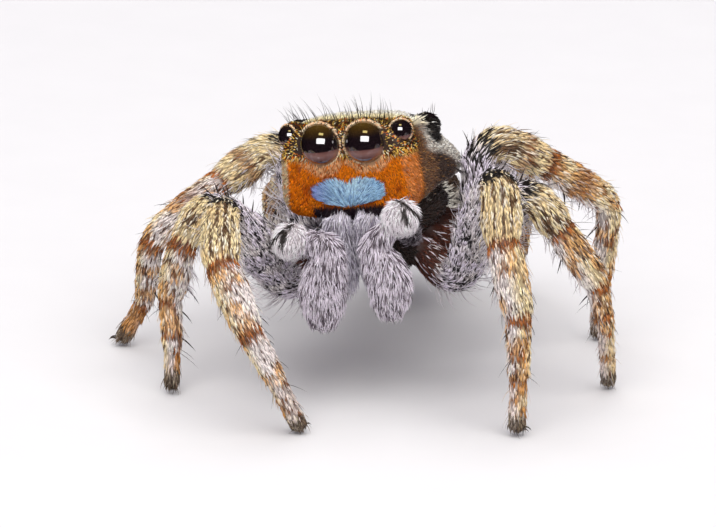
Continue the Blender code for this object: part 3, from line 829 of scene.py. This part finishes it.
skin_mesh.transform(Matrix.Scale(MM, 4) @ Matrix.Translation(stance_shift))
skin_mesh.materials.clear()
skin_mesh.materials.append(skin_pot.material)
skin = bpy.data.objects.new("skin", skin_mesh)
bpy.context.scene.collection.objects.link(skin)
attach(skin, "root")
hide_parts("head_shell", "breastplate", "waist", "abdomen", "spinnerets", "jaw_left", "jaw_right",
            *["palp_{}_{}".format(h, p) for h in ("left", "right") for p in ("femur", "knee", "bulb")],
            *leg_names)

# ---------------------------------------------------------------- eyes
# Eight smooth domes of clear cuticle over black eyecups: two big ones in front,
# a pair beside them, a tiny pair, and a rear pair. They sit in hairy rims.
LENS_RADIUS = 0.280
EYES = (("front", FRONT_EYE, LENS_RADIUS, 0.10), ("side", SIDE_EYE, 0.150, 0.45),
        ("small", SMALL_EYE, 0.055, 1.2), ("rear", REAR_EYE, 0.112, 1.35))

# painted reflection in each lens's colour, from its foot to its crown, over its own near-black: a brown-pink
# crescent low down, and the colour warms slightly towards the crown; height and colour
LENS_PAINTED_REFLECTION = (
    (0.0, (0.020, 0.008, 0.010, 1)), (0.13, (0.050, 0.020, 0.020, 1)),
    (0.20, (0.190, 0.090, 0.080, 1)), (0.33, (0.300, 0.150, 0.130, 1)),
    (0.405, (0.200, 0.085, 0.075, 1)), (0.43, (0.014, 0.007, 0.010, 1)),
    (0.70, (0.012, 0.006, 0.008, 1)), (0.88, (0.060, 0.030, 0.006, 1)),
    (1.0, (0.130, 0.070, 0.012, 1)))
lens = Pot("eye_lens", {"IOR": 1.9, "Coat Weight": 1.0, "Coat Roughness": 0.01, "Coat IOR": 1.5})
where = lens.node("ShaderNodeTexCoord", {}, {}, "Object")
facing = lens.node("ShaderNodeSeparateXYZ", {}, {"Vector": where}, 2)
# painted reflection: the crescent is laid on by height up the lens
painted_reflection = lens.node("ShaderNodeValToRGB", {"stops": LENS_PAINTED_REFLECTION},
                     {0: facing * (1 / (2 * LENS_RADIUS * MM)) + 0.5})
mottle = lens.noise(9000.0, 2.0)
# painted sheen: a green tint at each lens's edge on the spider's right side
across = lens.node("ShaderNodeSeparateXYZ", {}, {"Vector": where}, 0)
edge = lens.node("ShaderNodeMapRange", {}, {0: across, 1: -0.200 * MM, 2: -0.262 * MM, 3: 0.0, 4: 0.55})
sheen = lens.tint(painted_reflection, (0.070, 0.150, 0.050, 1.0), edge)
lens.feed("Base Color", lens.tint(sheen, (0.002, 0.004, 0.003, 1.0), mottle * 0.5))
lens.feed("Roughness", 0.03 + 0.05 * mottle)


def dome(radius, columns=56, rows=34):
    """A smooth ball with poles front and back, in millimetres around zero."""
    rings = ball_rings((0.0, 0.0, 0.0), (radius, radius, radius), rows, columns)
    return close_rings(rings, np.array([0.0, -radius, 0.0]), np.array([0.0, radius, 0.0]))


for kind, centre, radius, splay in EYES:
    for hand, hand_name in ((1, "left"), (-1, "right")):
        verts, faces = dome(radius)
        eye_mesh = mesh_from_arrays("lens", verts * MM, faces)
        eye_mesh.materials.append(lens.material)
        eye = bpy.data.objects.new("lens_{}_{}".format(kind, hand_name), eye_mesh)
        bpy.context.scene.collection.objects.link(eye)
        eye.location = to_frame(lean((hand * centre[0], centre[1], centre[2])))
        eye.rotation_euler = (0.0, -BODY_ROLL, 0.0)
        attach(eye, "root")
        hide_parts("eye_{}_{}".format(kind, hand_name))

# ---------------------------------------------------------------- leg coat
# Flat pale and dark scales lie along each leg towards the foot, over them thin
# longer hairs, and a white fringe hangs under the thighs and shins. Every hair
# and scale is a small closed blade rooted in the skin. Counts are per square mm.
ATLAS_COLUMNS = 6
PATCH, HALF_PATCH = 0.003, 0.0012     # room of one hair on the flat layout
FLOOR_GAP = 0.003
chance = np.random.default_rng(29)


def unwrap(m):
    """Place on a flat layout of the skin: one cell for each part."""
    cell = m["part"].astype(float)
    column, row = cell % ATLAS_COLUMNS, cell // ATLAS_COLUMNS
    span = np.where(m["part"] < LEG_COUNT, m["station"] / 6.0, m["station"] / np.where(m["part"] == HEAD,
                                                                                       2.8, 1.0))
    turn = (m["angle"] / (2 * np.pi)) % 1.0
    return np.stack([(column + 0.04 + 0.92 * np.clip(span, 0, 1)) / ATLAS_COLUMNS,
                     (row + 0.04 + 0.92 * turn) / ATLAS_COLUMNS], 1)


def sow(density):
    """Roots spread over the skin, density (hairs per square mm) for each triangle."""
    weight = np.cumsum(tri_area * density)
    count = int(weight[-1])
    spots = (np.arange(count) + chance.random(count)) / count * weight[-1]
    chosen = np.minimum(np.searchsorted(weight, spots), len(weight) - 1)
    u, v = chance.random(count), chance.random(count)
    flip = u + v > 1
    u, v = np.where(flip, 1 - u, u), np.where(flip, 1 - v, v)
    corner = skin_tris[chosen]
    share = np.stack([1 - u - v, u, v], 1)[..., None]
    place = (skin_verts[corner] * share).sum(1)
    out = unit((skin_normals[corner] * share).sum(1))
    m = read_marks(place)
    return m, out


def blades(m, out, along, length, width, lift, settle, rings, root_tone, tip_tone, flat=0.45, sway=0.0,
           sink=0.012):
    """Vertices, faces, colours and map places of many tapered solid hairs."""
    count = len(out)
    along = unit(along - out * np.einsum("ij,ij->i", along, out)[:, None])
    side = unit(np.cross(along, out))
    bend = chance.normal(0, 1, count)[:, None] * sway
    profile = {2: (0.75, 1.0), 3: (0.9, 1.0, 0.62), 4: (0.9, 1.0, 0.8, 0.45)}[rings]
    spot = m["place"] - out * sink
    points, colours, maps = [], [], []
    home = unwrap(m)
    lift, settle = np.broadcast_to(lift, count)[:, None], np.broadcast_to(settle, count)[:, None]
    length, width = np.broadcast_to(length, count)[:, None], np.broadcast_to(width, count)[:, None]
    for k in range(rings):
        t = k / rings
        angle = lift + (settle - lift) * t
        run = along * np.cos(angle) + out * np.sin(angle) + side * bend * t
        up = out * np.cos(angle) - along * np.sin(angle)
        half = width * profile[k] / 2
        points += [spot - side * half, spot + side * half, spot + up * half * 2 * flat]
        tone = root_tone + (tip_tone - root_tone) * t
        colours += [tone, tone, tone]
        maps += [home + [PATCH * t, -HALF_PATCH], home + [PATCH * t, HALF_PATCH], home + [PATCH * t, 0.0]]
        spot = spot + unit(run) * length / rings
    points.append(spot)
    colours.append(tip_tone)
    maps.append(home + [PATCH, 0.0])
    size = 3 * rings + 1
    verts = np.stack(points, 1).reshape(-1, 3)
    faces = [(0, 2, 1)]
    for k in range(rings - 1):
        a, b = 3 * k, 3 * k + 3
        for i in range(3):
            j = (i + 1) % 3
            faces += [(a + i, a + j, b + j), (a + i, b + j, b + i)]
    a = 3 * (rings - 1)
    faces += [(a + i, a + (i + 1) % 3, 3 * rings) for i in range(3)]
    faces = (np.arange(count) * size)[:, None, None] + np.array(faces)[None]
    faces = faces.reshape(-1, 3)
    corner = verts[faces]
    corner = corner - verts[0]
    volume = np.einsum("ij,ij->i", corner[:, 0], np.cross(corner[:, 1], corner[:, 2])).sum()
    if volume < 0:
        faces = faces[:, ::-1]
    return verts, faces, np.stack(colours, 1).reshape(-1, 3), np.stack(maps, 1).reshape(-1, 2)


def grow(name, batches, material):
    """Join batches of blades into one coat piece."""
    verts, faces, colours, maps, base = [], [], [], [], 0
    for v, f, c, u in batches:
        verts.append(v)
        faces.append(f + base)
        colours.append(c)
        maps.append(u)
        base += len(v)
    verts, faces = np.concatenate(verts), np.concatenate(faces)
    verts[:, 2] = np.maximum(verts[:, 2], FLOOR_GAP)
    mesh = mesh_from_arrays(name, to_frame(verts), faces)
    add_tint(mesh, np.concatenate(colours))
    layer = mesh.uv_layers.new(name="OFBake")
    layer.data.foreach_set("uv", np.concatenate(maps)[faces.ravel()].astype(np.float32).ravel())
    mesh.materials.append(material)
    piece = bpy.data.objects.new(name, mesh)
    bpy.context.scene.collection.objects.link(piece)
    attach(piece, "root")
    print(name, len(faces), "triangles")
    return piece


def dress(wanted, density, seed, dim, spread):
    """Roots of one kind of hair over the wanted triangles, with each one's colour."""
    m, out = sow(np.where(wanted, density, 0.0))
    count = len(out)
    grain = chance.random(count)
    return m, out, count, body_colours(m, out, seed, grain) * (dim + spread * chance.random(count))[:, None]


def pick(m, out, wanted):
    """Only the wanted rows."""
    return {key: value[wanted] for key, value in m.items()}, out[wanted]


def vary(base, amount, count):
    """Lengths or widths around a base."""
    return base * (1 + amount * (chance.random(count) * 2 - 1))


def coat_finish(name, rough, sheen, metal=0.0, spread=0.30, shine=0.5):
    """Hair finish: its own tint, small changes of tone, and a silky shine."""
    pot = Pot(name, {"Sheen Weight": sheen, "Sheen Roughness": 0.4, "Specular IOR Level": shine,
                     "Metallic": metal})
    colour = pot.node("ShaderNodeAttribute", {"attribute_name": "tint"}, {}, "Color")
    fine, broad = pot.noise(26000.0), pot.noise(5200.0)
    tone = 1.0 - spread * 0.5 + spread * fine
    shade = pot.node("ShaderNodeCombineColor", {}, {0: tone, 1: tone, 2: tone})
    pot.feed("Base Color", pot.tint(colour, shade, 1.0, "MULTIPLY"))
    pot.feed("Roughness", rough + 0.22 * broad - 0.11)
    return pot.material


LEG_SCALES, LEG_HAIRS = 640.0, 60.0
scale_coat = coat_finish("leg_scales", 0.46, 0.05)
hair_coat = coat_finish("fine_hair", 0.38, 0.1)
on_leg = tri_marks["part"] < LEG_COUNT
leg_hand = np.array([legs[p]["hand"] if p in legs else 0 for p in tri_marks["part"]])
for hand, hand_name in ((1, "left"), (-1, "right")):
    wanted = on_leg & (leg_hand == hand) & (tri_marks["station"] > 0.15)
    m, out, count, colour = dress(wanted, LEG_SCALES, 3, 0.86, 0.26)
    along = m["lie"] + chance.normal(0, 0.13, (count, 3))
    long = vary(np.where(m["station"] < 2, 0.135, 0.125), 0.3, count)
    wide = vary(np.where(m["station"] < 2, 0.024, 0.026), 0.3, count)
    lift = vary(0.22, 0.5, count)
    thigh = m["station"] < 1.95
    for name, slot, wearing in (("thigh_scales_", "femur_coat", thigh), ("leg_scales_", "leg_coat", ~thigh)):
        worn, worn_out = pick(m, out, wearing)
        tone = colour[wearing]
        scales = blades(worn, worn_out, along[wearing], long[wearing], wide[wearing], lift[wearing], 0.02, 2,
                        tone * 0.9, tone)
        grow(name + hand_name, [scales], scale_coat)

    m, out = sow(np.where(wanted, LEG_HAIRS, 0.0))
    count = len(out)
    grain = chance.random(count)
    colour = body_colours(m, out, 3, grain * 0.5 + 0.5)
    colour = mix(colour, paint(236, 226, 224), (chance.random(count) < 0.5) * 0.7)
    dark = chance.random(count) < 0.15
    colour = np.where(dark[:, None], paint(46, 34, 30), colour)
    along = m["lie"] + chance.normal(0, 0.22, (count, 3))
    fine = blades(m, out, along, vary(0.21, 0.35, count), vary(0.009, 0.3, count), vary(0.45, 0.5, count),
                  0.12, 3, colour * 0.6, colour, 0.8, 0.1)
    below = -np.sin(m["angle"])
    fringe = (below > 0.25) & (m["station"] > 0.9) & (m["station"] < 3.95)
    m2, out2 = pick(m, out, fringe)
    batches = [fine]
    for repeat in range(2):
        count = len(out2)
        pale = two_tone(paint(250, 244, 248), paint(168, 156, 160), chance.random(count) * 0.5)
        m3 = dict(m2)
        m3["place"] = m2["place"] + chance.normal(0, 0.02, (count, 3))
        along = m2["lie"] * 0.9 + chance.normal(0, 0.25, (count, 3))
        batches.append(blades(m3, out2, along, vary(np.where(m2["station"] < 2, 0.38, 0.22), 0.3, count),
                              vary(0.010, 0.3, count), vary(0.9, 0.3, count), 0.3, 3, pale * 0.8, pale, 0.8,
                              0.12))
    grow("leg_hairs_" + hand_name, batches, hair_coat)

# ---------------------------------------------------------------- feet
# Each tarsus ends in a dense dark pad of hairs that stands on the floor, with
# two small curved claws of dark horn on top of it, half hidden by the hairs.
PAD_HAIRS, PAD_REACH = 1500.0, 0.24
TOE_STATION = 5.85
CLAW_LENGTH, CLAW_WIDTH, CLAW_SPREAD = 0.12, 0.024, 0.035
claw_horn = Pot("claw_horn", {"Specular IOR Level": 0.6, "Coat Weight": 0.4})
claw_noise = claw_horn.noise(30000.0)
claw_horn.feed("Base Color", claw_horn.tint((0.012, 0.008, 0.006, 1.0), (0.06, 0.035, 0.02, 1.0), claw_noise))
claw_horn.feed("Roughness", 0.2 + 0.15 * claw_noise)
batches, claws = [], []
for part, leg in legs.items():
    wanted = (tri_marks["part"] == part) & (tri_marks["run"] > leg["joints"][6] - PAD_REACH)
    m, out = sow(np.where(wanted, PAD_HAIRS, 0.0))
    count = len(out)
    colour = two_tone(paint(104, 86, 68), paint(206, 188, 160), (chance.random(count) < 0.35) * 0.8)
    along = m["lie"] + np.array([0, 0, -0.5]) + chance.normal(0, 0.2, (count, 3))
    room = np.maximum(m["place"][:, 2] - 0.01, 0.02)
    long = np.minimum(vary(0.10, 0.3, count), room * 1.05)
    batches.append(blades(m, out, along, long, vary(0.017, 0.3, count), 0.25, 0.0, 2, colour * 0.7, colour,
                          0.6))
    toe = int(np.argmin(abs(leg["stations"] - TOE_STATION)))
    ahead = unit(leg["tangent"][toe] * [1.0, 1.0, 0.0] + np.array([leg["hand"] * 0.05, -0.02, 0.0]))
    beside = np.cross(ahead, [0.0, 0.0, 1.0])
    apart = np.array([[CLAW_SPREAD], [-CLAW_SPREAD]])
    place = leg["points"][toe] + ahead * leg["girth"][toe] * 0.8 + beside * apart
    up = np.tile([0.0, 0.0, 1.0], (2, 1))
    horn = repeat_colour(paint(30, 22, 18), 2)
    claws.append(blades(read_marks(place), up, np.tile(ahead, (2, 1)), CLAW_LENGTH, CLAW_WIDTH, 0.3, -1.1,
                        4, horn, horn, 0.8))
grow("foot_pads", batches, scale_coat)
grow("claws", claws, claw_horn.material)

# ---------------------------------------------------------------- face
# Short dense orange velvet covers the face below the eyes, with coppery hairs
# just under them. Behind the eyes it turns to flat gold, cream and brown scales,
# the gold ones with painted glints.
VELVET_HAIRS, GOLD_SCALES = 4400.0, 2600.0
RIM_HAIRS = 1300      # in each row, for a lens of one millimetre radius
velvet = coat_finish("face_velvet", 0.55, 0.0, shine=0.12)
bronze = coat_finish("bronze_scales", 0.28, 0.0, 0.15)
spot = upright(tri_middle)
on_head = tri_marks["part"] == HEAD
clear = np.ones(len(spot), bool)
for kind, centre, radius, splay in EYES:
    for hand in (1, -1):
        middle = np.array([hand * centre[0], centre[1], centre[2]])
        clear &= np.linalg.norm(spot - middle, axis=1) > radius
front = (spot[:, 1] < 0.30) & on_head & clear & (spot[:, 2] < -0.10)
gold = (spot[:, 1] < 0.42) & on_head & clear & (spot[:, 2] > -0.24)


def face_lie(m):
    """Down and outwards on the face, away from the eyes."""
    b = upright(m["place"])
    return lean_turn(np.stack([b[:, 0] * 0.9, np.full(len(b), 0.1), np.full(len(b), -1.0)], 1))


m, out, count, colour = dress(front, VELVET_HAIRS, 5, 0.72, 0.5)
along = face_lie(m) + chance.normal(0, 0.28, (count, 3))
batches = [blades(m, out, along, vary(0.075, 0.3, count), vary(0.0125, 0.3, count), vary(0.5, 0.3, count),
                  0.12, 2, colour * 0.85, colour, 0.6)]
grow("face_velvet", batches, velvet)

m, out, count, colour = dress(gold, GOLD_SCALES, 5, 0.85, 0.5)
b = upright(m["place"])
around = []
for hand in (1, -1):
    around.append(b[:, [0, 2]] - np.array([hand * FRONT_EYE[0], 0.0]))
first_nearer = np.linalg.norm(around[0], axis=1) < np.linalg.norm(around[1], axis=1)
near = np.where(first_nearer[:, None], around[0], around[1])
along = lean_turn(np.stack([near[:, 0], np.full(count, 0.3), near[:, 1]], 1))
along = along + chance.normal(0, 0.12, (count, 3))
batches = [blades(m, out, along, vary(0.055, 0.3, count), vary(0.015, 0.3, count), vary(0.35, 0.5, count),
                  0.05, 2, colour * 0.8, colour, 0.35)]
# rims: rings of fine pale gold hairs that curl round each front and side lens
for kind, centre, radius, splay in EYES[:2]:
    for hand in (1, -1):
        middle = np.array([hand * centre[0], centre[1], centre[2]])
        axis = unit(np.array([hand * math.sin(splay), -math.cos(splay), 0.05]))
        side = unit(np.cross(axis, [0.0, 0.0, 1.0]))
        up = np.cross(side, axis)
        count = int(RIM_HAIRS * radius)
        for push, reach in ((0.20, 1.0), (0.12, 1.015)):
            turn = np.sort(chance.random(count)) * 2 * np.pi
            ring = side * np.cos(turn)[:, None] + up * np.sin(turn)[:, None]
            place = lean(middle + ring * radius * math.sqrt(1 - push * push) * reach + axis * radius * push)
            out = unit(lean_turn(ring * 0.3 + axis))
            flow = lean_turn(ring - side * 0.5 * np.sin(turn)[:, None] + up * 0.5 * np.cos(turn)[:, None])
            m = read_marks(place)
            tone = two_tone(paint(255, 240, 204), paint(236, 146, 66), chance.random(count) ** 2)
            tone = np.where((chance.random(count) < 0.15)[:, None], paint(84, 40, 14), tone)
            batches.append(blades(m, out, flow + chance.normal(0, 0.15, (count, 3)),
                                  vary(0.032 * (radius / LENS_RADIUS) ** 0.5, 0.3, count),
                                  vary(0.012, 0.3, count), vary(0.2, 0.5, count), -0.1, 2, tone, tone, 0.8,
                                  0.05, 0.002))
grow("eye_gold", batches, bronze)

# ---------------------------------------------------------------- moustache
# A brush of blue scales under the front eyes. Its hairs rise and fan out from
# the lower edge of the face into two soft lobes.
MOUSTACHE_ROOT = np.array([0.0, -0.90])
rows = 3200
x = chance.uniform(-0.37, 0.41, rows)
low = np.interp(x, (-0.37, -0.24, -0.05, 0.14, 0.34, 0.41), (-0.72, -0.79, -0.85, -0.82, -0.77, -0.72))
high = np.interp(x, (-0.37, -0.24, -0.11, 0.0, 0.11, 0.28, 0.41),
                 (-0.61, -0.55, -0.54, -0.61, -0.54, -0.53, -0.61))
z = low + (high - low) * chance.random(rows)
place = lean(np.stack([x, np.full(rows, 0.02), z], 1))
out = lean_turn(np.tile([0.0, -1.0, 0.1], (rows, 1)))
m = read_marks(place)
m["part"] = np.full(rows, HEAD)
fan = np.stack([x * 1.35, np.zeros(rows), z - MOUSTACHE_ROOT[1] + 0.03], 1)
along = lean_turn(unit(fan)) + chance.normal(0, 0.10, (rows, 3))
edge = np.clip((-x - 0.16) / 0.2, 0, 1)
colour = two_tone(paint(166, 208, 238), paint(160, 176, 238), edge)
# painted highlight: the scales turn near-white towards the middle and top of the brush
light = np.exp(-((x - 0.05) / 0.16) ** 2) * np.clip((z + 0.85) / 0.3, 0, 1)
colour = mix(colour, paint(222, 248, 255), light * 0.8)
colour = mix(colour, paint(74, 114, 172), (chance.random(rows) < 0.28) * 0.75)
colour = colour * (0.75 + 0.5 * chance.random(rows))[:, None]
blue = coat_finish("blue_scales", 0.34, 0.0)
grow("moustache", [blades(m, out, along, vary(0.135, 0.25, rows), vary(0.014, 0.25, rows),
                          vary(0.5, 0.2, rows), 0.08, 3, colour * 0.75, colour, 0.5, 0.05)], blue)

# ---------------------------------------------------------------- head coat
# Cream, brown and dark scales lie backwards over the top and sides of the hard
# head shell, and turn dark round the rear eyes.
HEAD_SCALES = 1250.0
m, out, count, colour = dress(on_head & clear & ~front & ~gold, HEAD_SCALES, 7, 0.75, 0.5)
b = upright(m["place"])
along = lean_turn(np.stack([b[:, 0] * 0.25, np.full(count, 1.0), np.full(count, -0.35)], 1))
along = along + chance.normal(0, 0.2, (count, 3))
head_coat = coat_finish("head_scales", 0.46, 0.05)
grow("head_scales", [blades(m, out, along, vary(0.11, 0.3, count), vary(0.020, 0.3, count),
                            vary(0.18, 0.5, count), 0.02, 2, colour * 0.85, colour)], head_coat)

# ---------------------------------------------------------------- abdomen coat
# Short brown scales with a pale band and stripe cover the soft abdomen and lie
# backwards. The same scales cover the waist and the underside between the legs.
BELLY_SCALES = 640.0
wanted = (tri_marks["part"] == BELLY) | (tri_marks["part"] == UNDER)
m, out, count, colour = dress(wanted, BELLY_SCALES, 9, 0.75, 0.5)
along = np.tile([0.0, 1.0, -0.2], (count, 1)) + chance.normal(0, 0.2, (count, 3))
grow("abdomen_scales", [blades(m, out, along, vary(0.14, 0.3, count), vary(0.027, 0.3, count),
                               vary(0.35, 0.4, count), 0.05, 2, colour * 0.7, colour)], scale_coat)

# ---------------------------------------------------------------- palps and jaws
# Long soft white and lilac hair hides the jaws and the hanging palps; the jaws
# wear the longer strands.
PALP_HAIRS = 1300.0
wanted = (tri_marks["part"] >= JAW) & (tri_marks["part"] < UNDER)
m, out, count, colour = dress(wanted, PALP_HAIRS, 11, 0.8, 0.4)
part = m["part"]
flow = np.where((part == JAW)[:, None], np.array([0.0, -0.1, -1.0]), m["lie"])
flow = np.where((part == PALP_BULB)[:, None], np.array([0.05, -0.1, -1.0]), flow)
flow = np.where((part == PALP_KNEE)[:, None], out * 0.2 + np.array([0.05, -0.3, -0.9]), flow)
along = flow + chance.normal(0, 0.2, (count, 3))
long = vary(np.where(part == PALP_KNEE, 0.12, np.where(part == PALP_BULB, 0.14, 0.19)), 0.3, count)
root_dark = np.where(part == PALP_KNEE, 0.95, 0.8)[:, None]
wide, lift = vary(0.013, 0.3, count), vary(0.42, 0.4, count)
palp_coat = coat_finish("palp_hair", 0.42, 0.15)
for name, slot, wearing in (("palp_hair", "palp_coat", part != JAW), ("jaw_hair", "jaw_coat", part == JAW)):
    worn, worn_out = pick(m, out, wearing)
    tone = colour[wearing]
    grow(name, [blades(worn, worn_out, along[wearing], long[wearing], wide[wearing], lift[wearing], 0.08, 3,
                       tone * root_dark[wearing], tone, 0.7, 0.06)], palp_coat)

# ---------------------------------------------------------------- bristles
# Stiff black bristles stand over the eyes and on the knees, and thin dark
# sense hairs stick out from the legs.
black = Pot("bristle", {"Specular IOR Level": 0.6, "Coat Weight": 0.3})
black_noise = black.noise(12000.0)
black.feed("Base Color", black.tint((0.010, 0.007, 0.006, 1.0), (0.040, 0.026, 0.018, 1.0), black_noise))
black.feed("Roughness", 0.22 + 0.2 * black_noise)


def bristle_batch(places, directions, length, width, rings=4, droop=0.0):
    """Single strong hairs standing along given directions."""
    places, directions = np.asarray(places, float), unit(np.asarray(directions, float))
    count = len(places)
    m = read_marks(places)
    helper = unit(np.cross(directions, np.tile([0.3, 0.2, 1.0], (count, 1))))
    out = np.cross(helper, directions)
    tone = repeat_colour(paint(20, 15, 14), count)
    return blades(m, out, directions, length, width, droop * 0.2, -droop, rings, tone, tone, 0.8, 0.03, 0.0)


skin_tree = tree_of(skin_verts)


def on_skin(points):
    """The skin points nearest to the given ones."""
    return np.array([skin_verts[skin_tree.find(p)[1]] for p in points])


BROW_BRISTLES, SENSE_HAIRS = 60, 16
# knee and shin bristles: station, angle round the leg, length
STRONG_BRISTLES = ((1.88, 1.1, 0.26), (1.93, 2.0, 0.24), (1.80, 1.6, 0.24), (1.7, 2.3, 0.22),
                   (3.5, -1.2, 0.3), (3.75, -2.0, 0.3), (4.3, -1.4, 0.28), (4.7, -1.8, 0.26))
batches = []
rows = BROW_BRISTLES
x = np.concatenate([chance.uniform(-0.72, 0.72, rows), chance.uniform(0.80, 1.0, 5),
                    chance.uniform(-1.0, -0.80, 5)])
y = np.concatenate([chance.uniform(0.10, 0.22, rows), chance.uniform(0.75, 1.15, 10)])
z = np.concatenate([chance.uniform(0.22, 0.27, rows), chance.uniform(0.08, 0.18, 10)])
count = len(x)
aim = lean_turn(np.stack([x * 0.5 + chance.normal(0, 0.12, count), -0.20 + chance.normal(0, 0.15, count),
                          np.ones(count)], 1))
long = vary(np.where(y > 0.6, 0.16, 0.32), 0.4, count)
batches.append(bristle_batch(on_skin(lean(np.stack([x, y, z], 1))), aim, long, 0.0075, 4, 0.4))
for hand in (1, -1):
    count = SENSE_HAIRS
    place = lean(np.stack([hand * chance.uniform(0.86, 0.93, count), chance.uniform(0.2, 0.45, count),
                           chance.uniform(-0.15, 0.15, count)], 1))
    aim = lean_turn(np.stack([np.full(count, hand * 1.0), chance.normal(-0.35, 0.2, count),
                              chance.uniform(0.2, 0.8, count)], 1))
    batches.append(bristle_batch(on_skin(place), aim, vary(0.22, 0.3, count), 0.007, 4, 0.3))
for part, leg in legs.items():
    count = SENSE_HAIRS
    s = chance.uniform(1.2, 5.6, count)
    angle = chance.uniform(-math.pi, math.pi, count)
    row = np.array([int(np.argmin(abs(leg["stations"] - v))) for v in s])
    out = leg["side"][row] * np.cos(angle)[:, None] + leg["back"][row] * np.sin(angle)[:, None]
    place = leg["points"][row] + out * leg["girth"][row][:, None]
    aim = out * 1.0 + leg["tangent"][row] * 0.7
    batches.append(bristle_batch(place, aim, vary(0.27, 0.3, count), 0.0065, 3, 0.25))
    for s, angle, long in STRONG_BRISTLES:
        row = [int(np.argmin(abs(leg["stations"] - s)))]
        out = leg["side"][row] * math.cos(angle) + leg["back"][row] * math.sin(angle)
        batches.append(bristle_batch(leg["points"][row] + out * leg["girth"][row][:, None],
                                     out + leg["tangent"][row] * 0.9, long, 0.022, 4, 0.2))
grow("bristles", batches, black.material)

# ---------------------------------------------------------------- floor
# A plain sheet of pale paper under the spider. It is not part of the animal and
# gives it something to stand on and cast a shadow on.
FLOOR_REACH = 0.6
floor_mesh = mesh_from_arrays("floor", np.array([(-1, -1, 0), (1, -1, 0), (1, 1, 0), (-1, 1, 0)])
                              * FLOOR_REACH, [(0, 1, 2, 3)])
floor_pot = Pot("floor_paper", {"Specular IOR Level": 0.1})
floor_noise = floor_pot.noise(900.0)
floor_pot.feed("Base Color", floor_pot.tint((0.770, 0.765, 0.765, 1.0), (0.800, 0.795, 0.795, 1.0),
                                            floor_noise))
floor_pot.feed("Roughness", 0.85 + 0.1 * floor_noise)
floor_mesh.materials.append(floor_pot.material)
floor = bpy.data.objects.new("floor", floor_mesh)
bpy.context.scene.collection.objects.link(floor)
floor.visible_glossy = False

# ---------------------------------------------------------------- light
# Two broad soft lights, in front and overhead, and an even pale surround light
# the coat. Two more softboxes, one white and one warm, show only in the eyes.
world = bpy.data.worlds.new("surround")
bpy.context.scene.world = world
world.use_nodes = True
world.node_tree.nodes["Background"].inputs["Color"].default_value = (0.88, 0.86, 1.0, 1.0)
world.node_tree.nodes["Background"].inputs["Strength"].default_value = 0.40
world.cycles_visibility.glossy = False


def softbox(name, offset, aim, wide, tall, radiance, colour, seen, lights):
    """A rectangular light of a given brightness, aimed at a stance point."""
    data = bpy.data.lights.new(name, "AREA")
    data.shape = "RECTANGLE"
    data.size, data.size_y = wide * MM, tall * MM
    data.energy = radiance * math.pi * data.size * data.size_y
    data.color = colour
    lamp = bpy.data.objects.new(name, data)
    bpy.context.scene.collection.objects.link(lamp)
    lamp.location = to_frame(np.asarray(aim) + offset)
    lamp.rotation_euler = (-Vector(offset)).to_track_quat("-Z", "Y").to_euler()
    lamp.visible_glossy = seen
    lamp.visible_diffuse = lights


def toward(side_degrees, up_degrees):
    """Direction seen from the eyes, turned from the camera's own direction."""
    a, e = AZIMUTH + math.radians(side_degrees), ELEVATION + math.radians(up_degrees)
    return np.array([math.sin(a) * math.cos(e), -math.cos(a) * math.cos(e), math.sin(e)])


softbox("softbox_seen", toward(-6, 15) * 120, eye_middle, 96, 62, 9.0, (1.0, 0.97, 0.98), True, False)
softbox("softbox_warm", toward(-8, 54) * 110, eye_middle, 40, 26, 5.0, (1.0, 0.80, 0.30), True, False)
softbox("fill_front", toward(8, 36) * 150, eye_middle, 190, 150, 3.05, (1.0, 0.98, 0.955), False, True)
softbox("overhead", np.array([-25.0, 40.0, 160.0]), eye_middle, 150, 150, 1.6, (1.0, 0.98, 0.95), False, True)
bpy.context.scene.view_settings.view_transform = "Standard"
